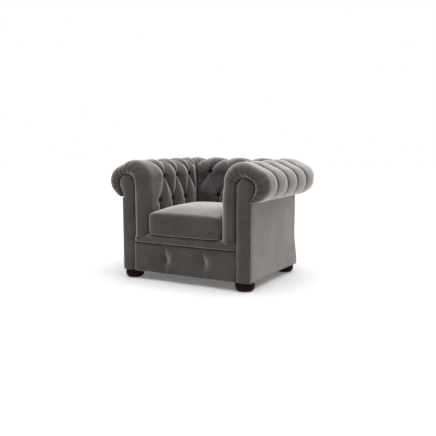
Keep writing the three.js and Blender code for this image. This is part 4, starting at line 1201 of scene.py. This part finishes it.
class ArmchairFinishes(bpy.types.PropertyGroup):
    """Colours of the finishes"""
    velvet_dark: colour_of("Velvet, dark", "Pile brushed away from the light",
                           (0.047, 0.0435, 0.041))
    velvet_light: colour_of("Velvet, light", "Pile brushed towards the light",
                            (0.092, 0.086, 0.082))
    # Colour of the painted shade in creases, tufts and seams
    velvet_crease_shade: colour_of("Velvet, creases", "Pile inside the creases",
                             (0.006, 0.003, 0.0028))
    # Colour of the painted sheen seen at a slant
    velvet_sheen_paint: colour_of("Velvet, slanting", "Pile seen at a slant", (0.62, 0.60, 0.58))
    sheen_colour: colour_of("Sheen colour", "Colour of the pile's sheen", (0.86, 0.82, 0.79))
    sheen: FloatProperty(name="Sheen", description="Strength of the pile's sheen",
                         default=0.25, min=0, max=1)
    wood_light: colour_of("Frame wood, light", "Early wood of the frame", (0.52, 0.33, 0.18))
    wood_dark: colour_of("Frame wood, dark", "Late wood of the frame", (0.34, 0.19, 0.09))
    foot_dark: colour_of("Feet, dark", "Stain of the turned feet", (0.006, 0.0010, 0.0009))
    foot_light: colour_of("Feet, light", "Stain where the grain takes less",
                          (0.013, 0.0025, 0.0020))


class ARMCHAIR_OT_arm_pads(bpy.types.Operator):
    """Tufted covers of the arms with the gathered band round each arm front"""
    bl_idname = "armchair.arm_pads"
    bl_label = "Arm pads"

    def execute(self, context):
        sizes = context.scene.armchair_sizes
        cover, close = arm_cover(sizes)
        lining, _ = arm_cover(sizes, lining=True)
        dress_pair("arm_cover", "arm_pad", cover, lining, close, fill=0.85)
        return {"FINISHED"}


class ARMCHAIR_OT_back_pad(bpy.types.Operator):
    """Tufted cover of the back, mitred to the arms"""
    bl_idname = "armchair.back_pad"
    bl_label = "Back pad"

    def execute(self, context):
        sizes = context.scene.armchair_sizes
        cover, close = back_cover(sizes)
        lining, _ = back_cover(sizes, lining=True)
        made = shell("back_cover", cover, lining, close)
        dress(made, "velvet", "root", ["back_pad"])
        return {"FINISHED"}


class ARMCHAIR_OT_fronts(bpy.types.Operator):
    """Padded facings of the arms, the tufted border and the lip above it"""
    bl_idname = "armchair.fronts"
    bl_label = "Facings, border and lip"

    def execute(self, context):
        dress_pair("facing_cover", "facing", *facing_grids(), fill=0.9)
        border = shell("border_cover", *border_grids())
        dress(border, "velvet", "root", ["front_border"])
        dress(shell("lip_cover", *lip_grids()), "velvet", "root", ["seat_lip"])
        return {"FINISHED"}


class ARMCHAIR_OT_outside_panels(bpy.types.Operator):
    """Covers of the outside arms and the outside back"""
    bl_idname = "armchair.outside_panels"
    bl_label = "Outside panels"

    def execute(self, context):
        corner_out, corner_back = BODY_HALF - REAR_CORNER, BODY_REAR - REAR_CORNER
        corner = arc((corner_out, corner_back), REAR_CORNER, 0, math.pi / 2, 12)
        edge, board, rear = FACING_OUTER + GAP, WOOD_OUT + GAP, WOOD_REAR + GAP
        # The panel starts behind the facing's rounded edge, which hides its end
        plan = np.concatenate([[(edge, -312.5), (FACING_OUTER + 1.4, -315), (BODY_HALF, -311.5)],
                               corner])
        inner = [(edge, -311.5), (edge, BODY_FRONT - GAP), (board, BODY_FRONT - GAP),
                 (board, rear), (corner_out, rear)]
        dress_pair("outside_cover", "outside_arm", *panel_grids(plan, inner, 0.7), fill=0.9)
        half = corner_out - GAP
        grids = panel_grids([(half, BODY_REAR), (-half, BODY_REAR)],
                            [(half, rear), (-half, rear)], 2.1)
        made = shell("outside_back_cover", *grids)
        dress(made, "velvet", "root", ["outside_back"])
        return {"FINISHED"}


class ARMCHAIR_OT_seat(bpy.types.Operator):
    """Loose seat cushion, blown up as cloth, and the deck pad below it"""
    bl_idname = "armchair.seat"
    bl_label = "Seat cushion and deck"

    def execute(self, context):
        made, points = swollen("seat_cushion_cover", *cushion_form(),
                               context.scene.armchair_sizes.cushion_pressure,
                               CUSHION_SWELL * MM, cushion_seams)
        low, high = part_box("seat_cushion")
        points[:, 2] = np.clip(points[:, 2], low.z, low.z + CUSHION_TALLEST * MM)
        y = points[:, 1] / MM - SHIFT_Y
        level = ramp(points[:, 2] - low.z, CUSHION_EDGE * MM)
        clear = CUSHION_CLEAR * MM
        half = high.x - clear + cushion_spread(y, level) * MM
        points[:, 0] = np.clip(points[:, 0], -half, half)
        points[:, 1] = np.clip(points[:, 1], low.y - CUSHION_FORWARD * MM, high.y - clear)
        sag = smooth(ramp(SAG_FROM - y, SAG_OVER))
        points[:, 2] -= CUSHION_SAG * MM * (1 - level) * sag
        mesh = made.data
        mesh.vertices.foreach_set("co", points.astype(np.float32).ravel())
        mesh.polygons.foreach_set("use_smooth", np.ones(len(mesh.polygons), bool))
        mesh.update()
        finer = made.modifiers.new("Finer", "SUBSURF")
        finer.levels = finer.render_levels = 1
        dress(made, "velvet", "seat_cushion", ["seat_cushion"])
        box = (to_drawing(np.array(corner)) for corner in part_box("seat_deck"))
        deck = shell("seat_deck_cover", *slab_grids(*box, DECK_CROWN))
        dress(deck, "velvet", "root", ["seat_deck"])
        return {"FINISHED"}


class ARMCHAIR_OT_feet(bpy.types.Operator):
    """Four turned bun feet"""
    bl_idname = "armchair.feet"
    bl_label = "Feet"

    def execute(self, context):
        for end in ("front", "rear"):
            for side in ("right", "left"):
                name = f"{end}_foot_{side}"
                low, high = (np.array(corner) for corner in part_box(name))
                centre = to_drawing((low + high) / 2)
                made = turned_object(f"{end}_bun_foot_{side}", foot_profile(), centre)
                dress(made, "dark_wood", "root", [name])
        return {"FINISHED"}


class ARMCHAIR_OT_frame_finishes(bpy.types.Operator):
    """Finishes of the frame, springs, lining, bolts and glides that stay as packed"""
    bl_idname = "armchair.frame_finishes"
    bl_label = "Frame finishes"

    def execute(self, context):
        slots = {"spring": "steel", "bolt": "steel", "hessian": "hessian",
                 "inside_panel": "hessian", "dust": "lining", "glide": "nylon"}
        for name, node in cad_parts.items():
            if not node.hide_render:
                slot = next((slots[word] for word in slots if word in name), "hardwood")
                node.data.materials.clear()
                node.data.materials.append(finish_named(slot))
        return {"FINISHED"}


def aimed(name, data, place, target):
    """A lamp or camera at a place, turned towards a target."""
    made = linked(name, data)
    made.location = place
    made.rotation_mode = "QUATERNION"
    made.rotation_quaternion = Vector(np.subtract(target, place)).to_track_quat("-Z", "Y")
    return made


class ARMCHAIR_OT_stage(bpy.types.Operator):
    """Pale floor, soft studio lights and the camera"""
    bl_idname = "armchair.stage"
    bl_label = "Stage"

    def execute(self, context):
        scene = context.scene
        size = 14.0
        corners = [(-size, -size, 0), (size, -size, 0), (size, size, 0), (-size, size, 0)]
        mesh = bpy.data.meshes.new("floor")
        mesh.from_pydata(corners, [], [(0, 1, 2, 3)])
        floor = linked("floor", mesh)
        f = Finish("floor")
        f.set(Base_Color=(0.70, 0.69, 0.68), Roughness=0.9, Specular_IOR_Level=0.2,
              Emission_Color=(1.0, 0.985, 0.975), Emission_Strength=0.14)
        floor.data.materials.append(f.material)
        scene.world = studio_world()
        top = bpy.data.lights.new("top", "SUN")
        top.angle, top.energy = math.radians(70), 3.15
        side = bpy.data.lights.new("side", "AREA")
        side.size, side.energy = 1.3, 4
        aimed("top", top, (0.25, -0.15, 2.6), (0.0, 0.0, 0.35))
        aimed("side", side, (3.2, 0.9, 0.8), (0.0, 0.0, 0.35))
        camera = bpy.data.cameras.new("camera")
        camera.lens, camera.sensor_width = 50.0, 36.0
        scene.camera = aimed("camera", camera, to_frame([1848.3, -3273.1, 848.9]),
                             to_frame([39.8, 21.1, 355.0]))
        scene.view_settings.view_transform = "Standard"
        return {"FINISHED"}


OPERATORS = (
    ARMCHAIR_OT_arm_pads, ARMCHAIR_OT_back_pad, ARMCHAIR_OT_fronts, ARMCHAIR_OT_outside_panels,
    ARMCHAIR_OT_seat, ARMCHAIR_OT_feet, ARMCHAIR_OT_frame_finishes, ARMCHAIR_OT_stage,
)


class ARMCHAIR_PT_panel(bpy.types.Panel):
    """Lists the pieces of the armchair, its sizes and colours"""
    bl_label = "Armchair"
    bl_idname = "ARMCHAIR_PT_panel"
    bl_space_type = "VIEW_3D"
    bl_region_type = "UI"
    bl_category = "Armchair"

    def draw(self, context):
        for operator in OPERATORS:
            self.layout.operator(operator.bl_idname)
        for group in (context.scene.armchair_sizes, context.scene.armchair_finishes):
            for name in group.__annotations__:
                self.layout.prop(group, name)


CLASSES = (ArmchairSizes, ArmchairFinishes, *OPERATORS, ARMCHAIR_PT_panel)


def register():
    for each in CLASSES:
        bpy.utils.register_class(each)
    bpy.types.Scene.armchair_sizes = PointerProperty(type=ArmchairSizes)
    bpy.types.Scene.armchair_finishes = PointerProperty(type=ArmchairFinishes)


def unregister():
    del bpy.types.Scene.armchair_finishes
    del bpy.types.Scene.armchair_sizes
    for each in reversed(CLASSES):
        bpy.utils.unregister_class(each)


def main():
    register()
    bpy.ops.armchair.arm_pads()
    bpy.ops.armchair.back_pad()
    bpy.ops.armchair.fronts()
    bpy.ops.armchair.outside_panels()
    bpy.ops.armchair.seat()
    bpy.ops.armchair.feet()
    bpy.ops.armchair.frame_finishes()
    bpy.ops.armchair.stage()


if __name__ == "__main__":
    main()
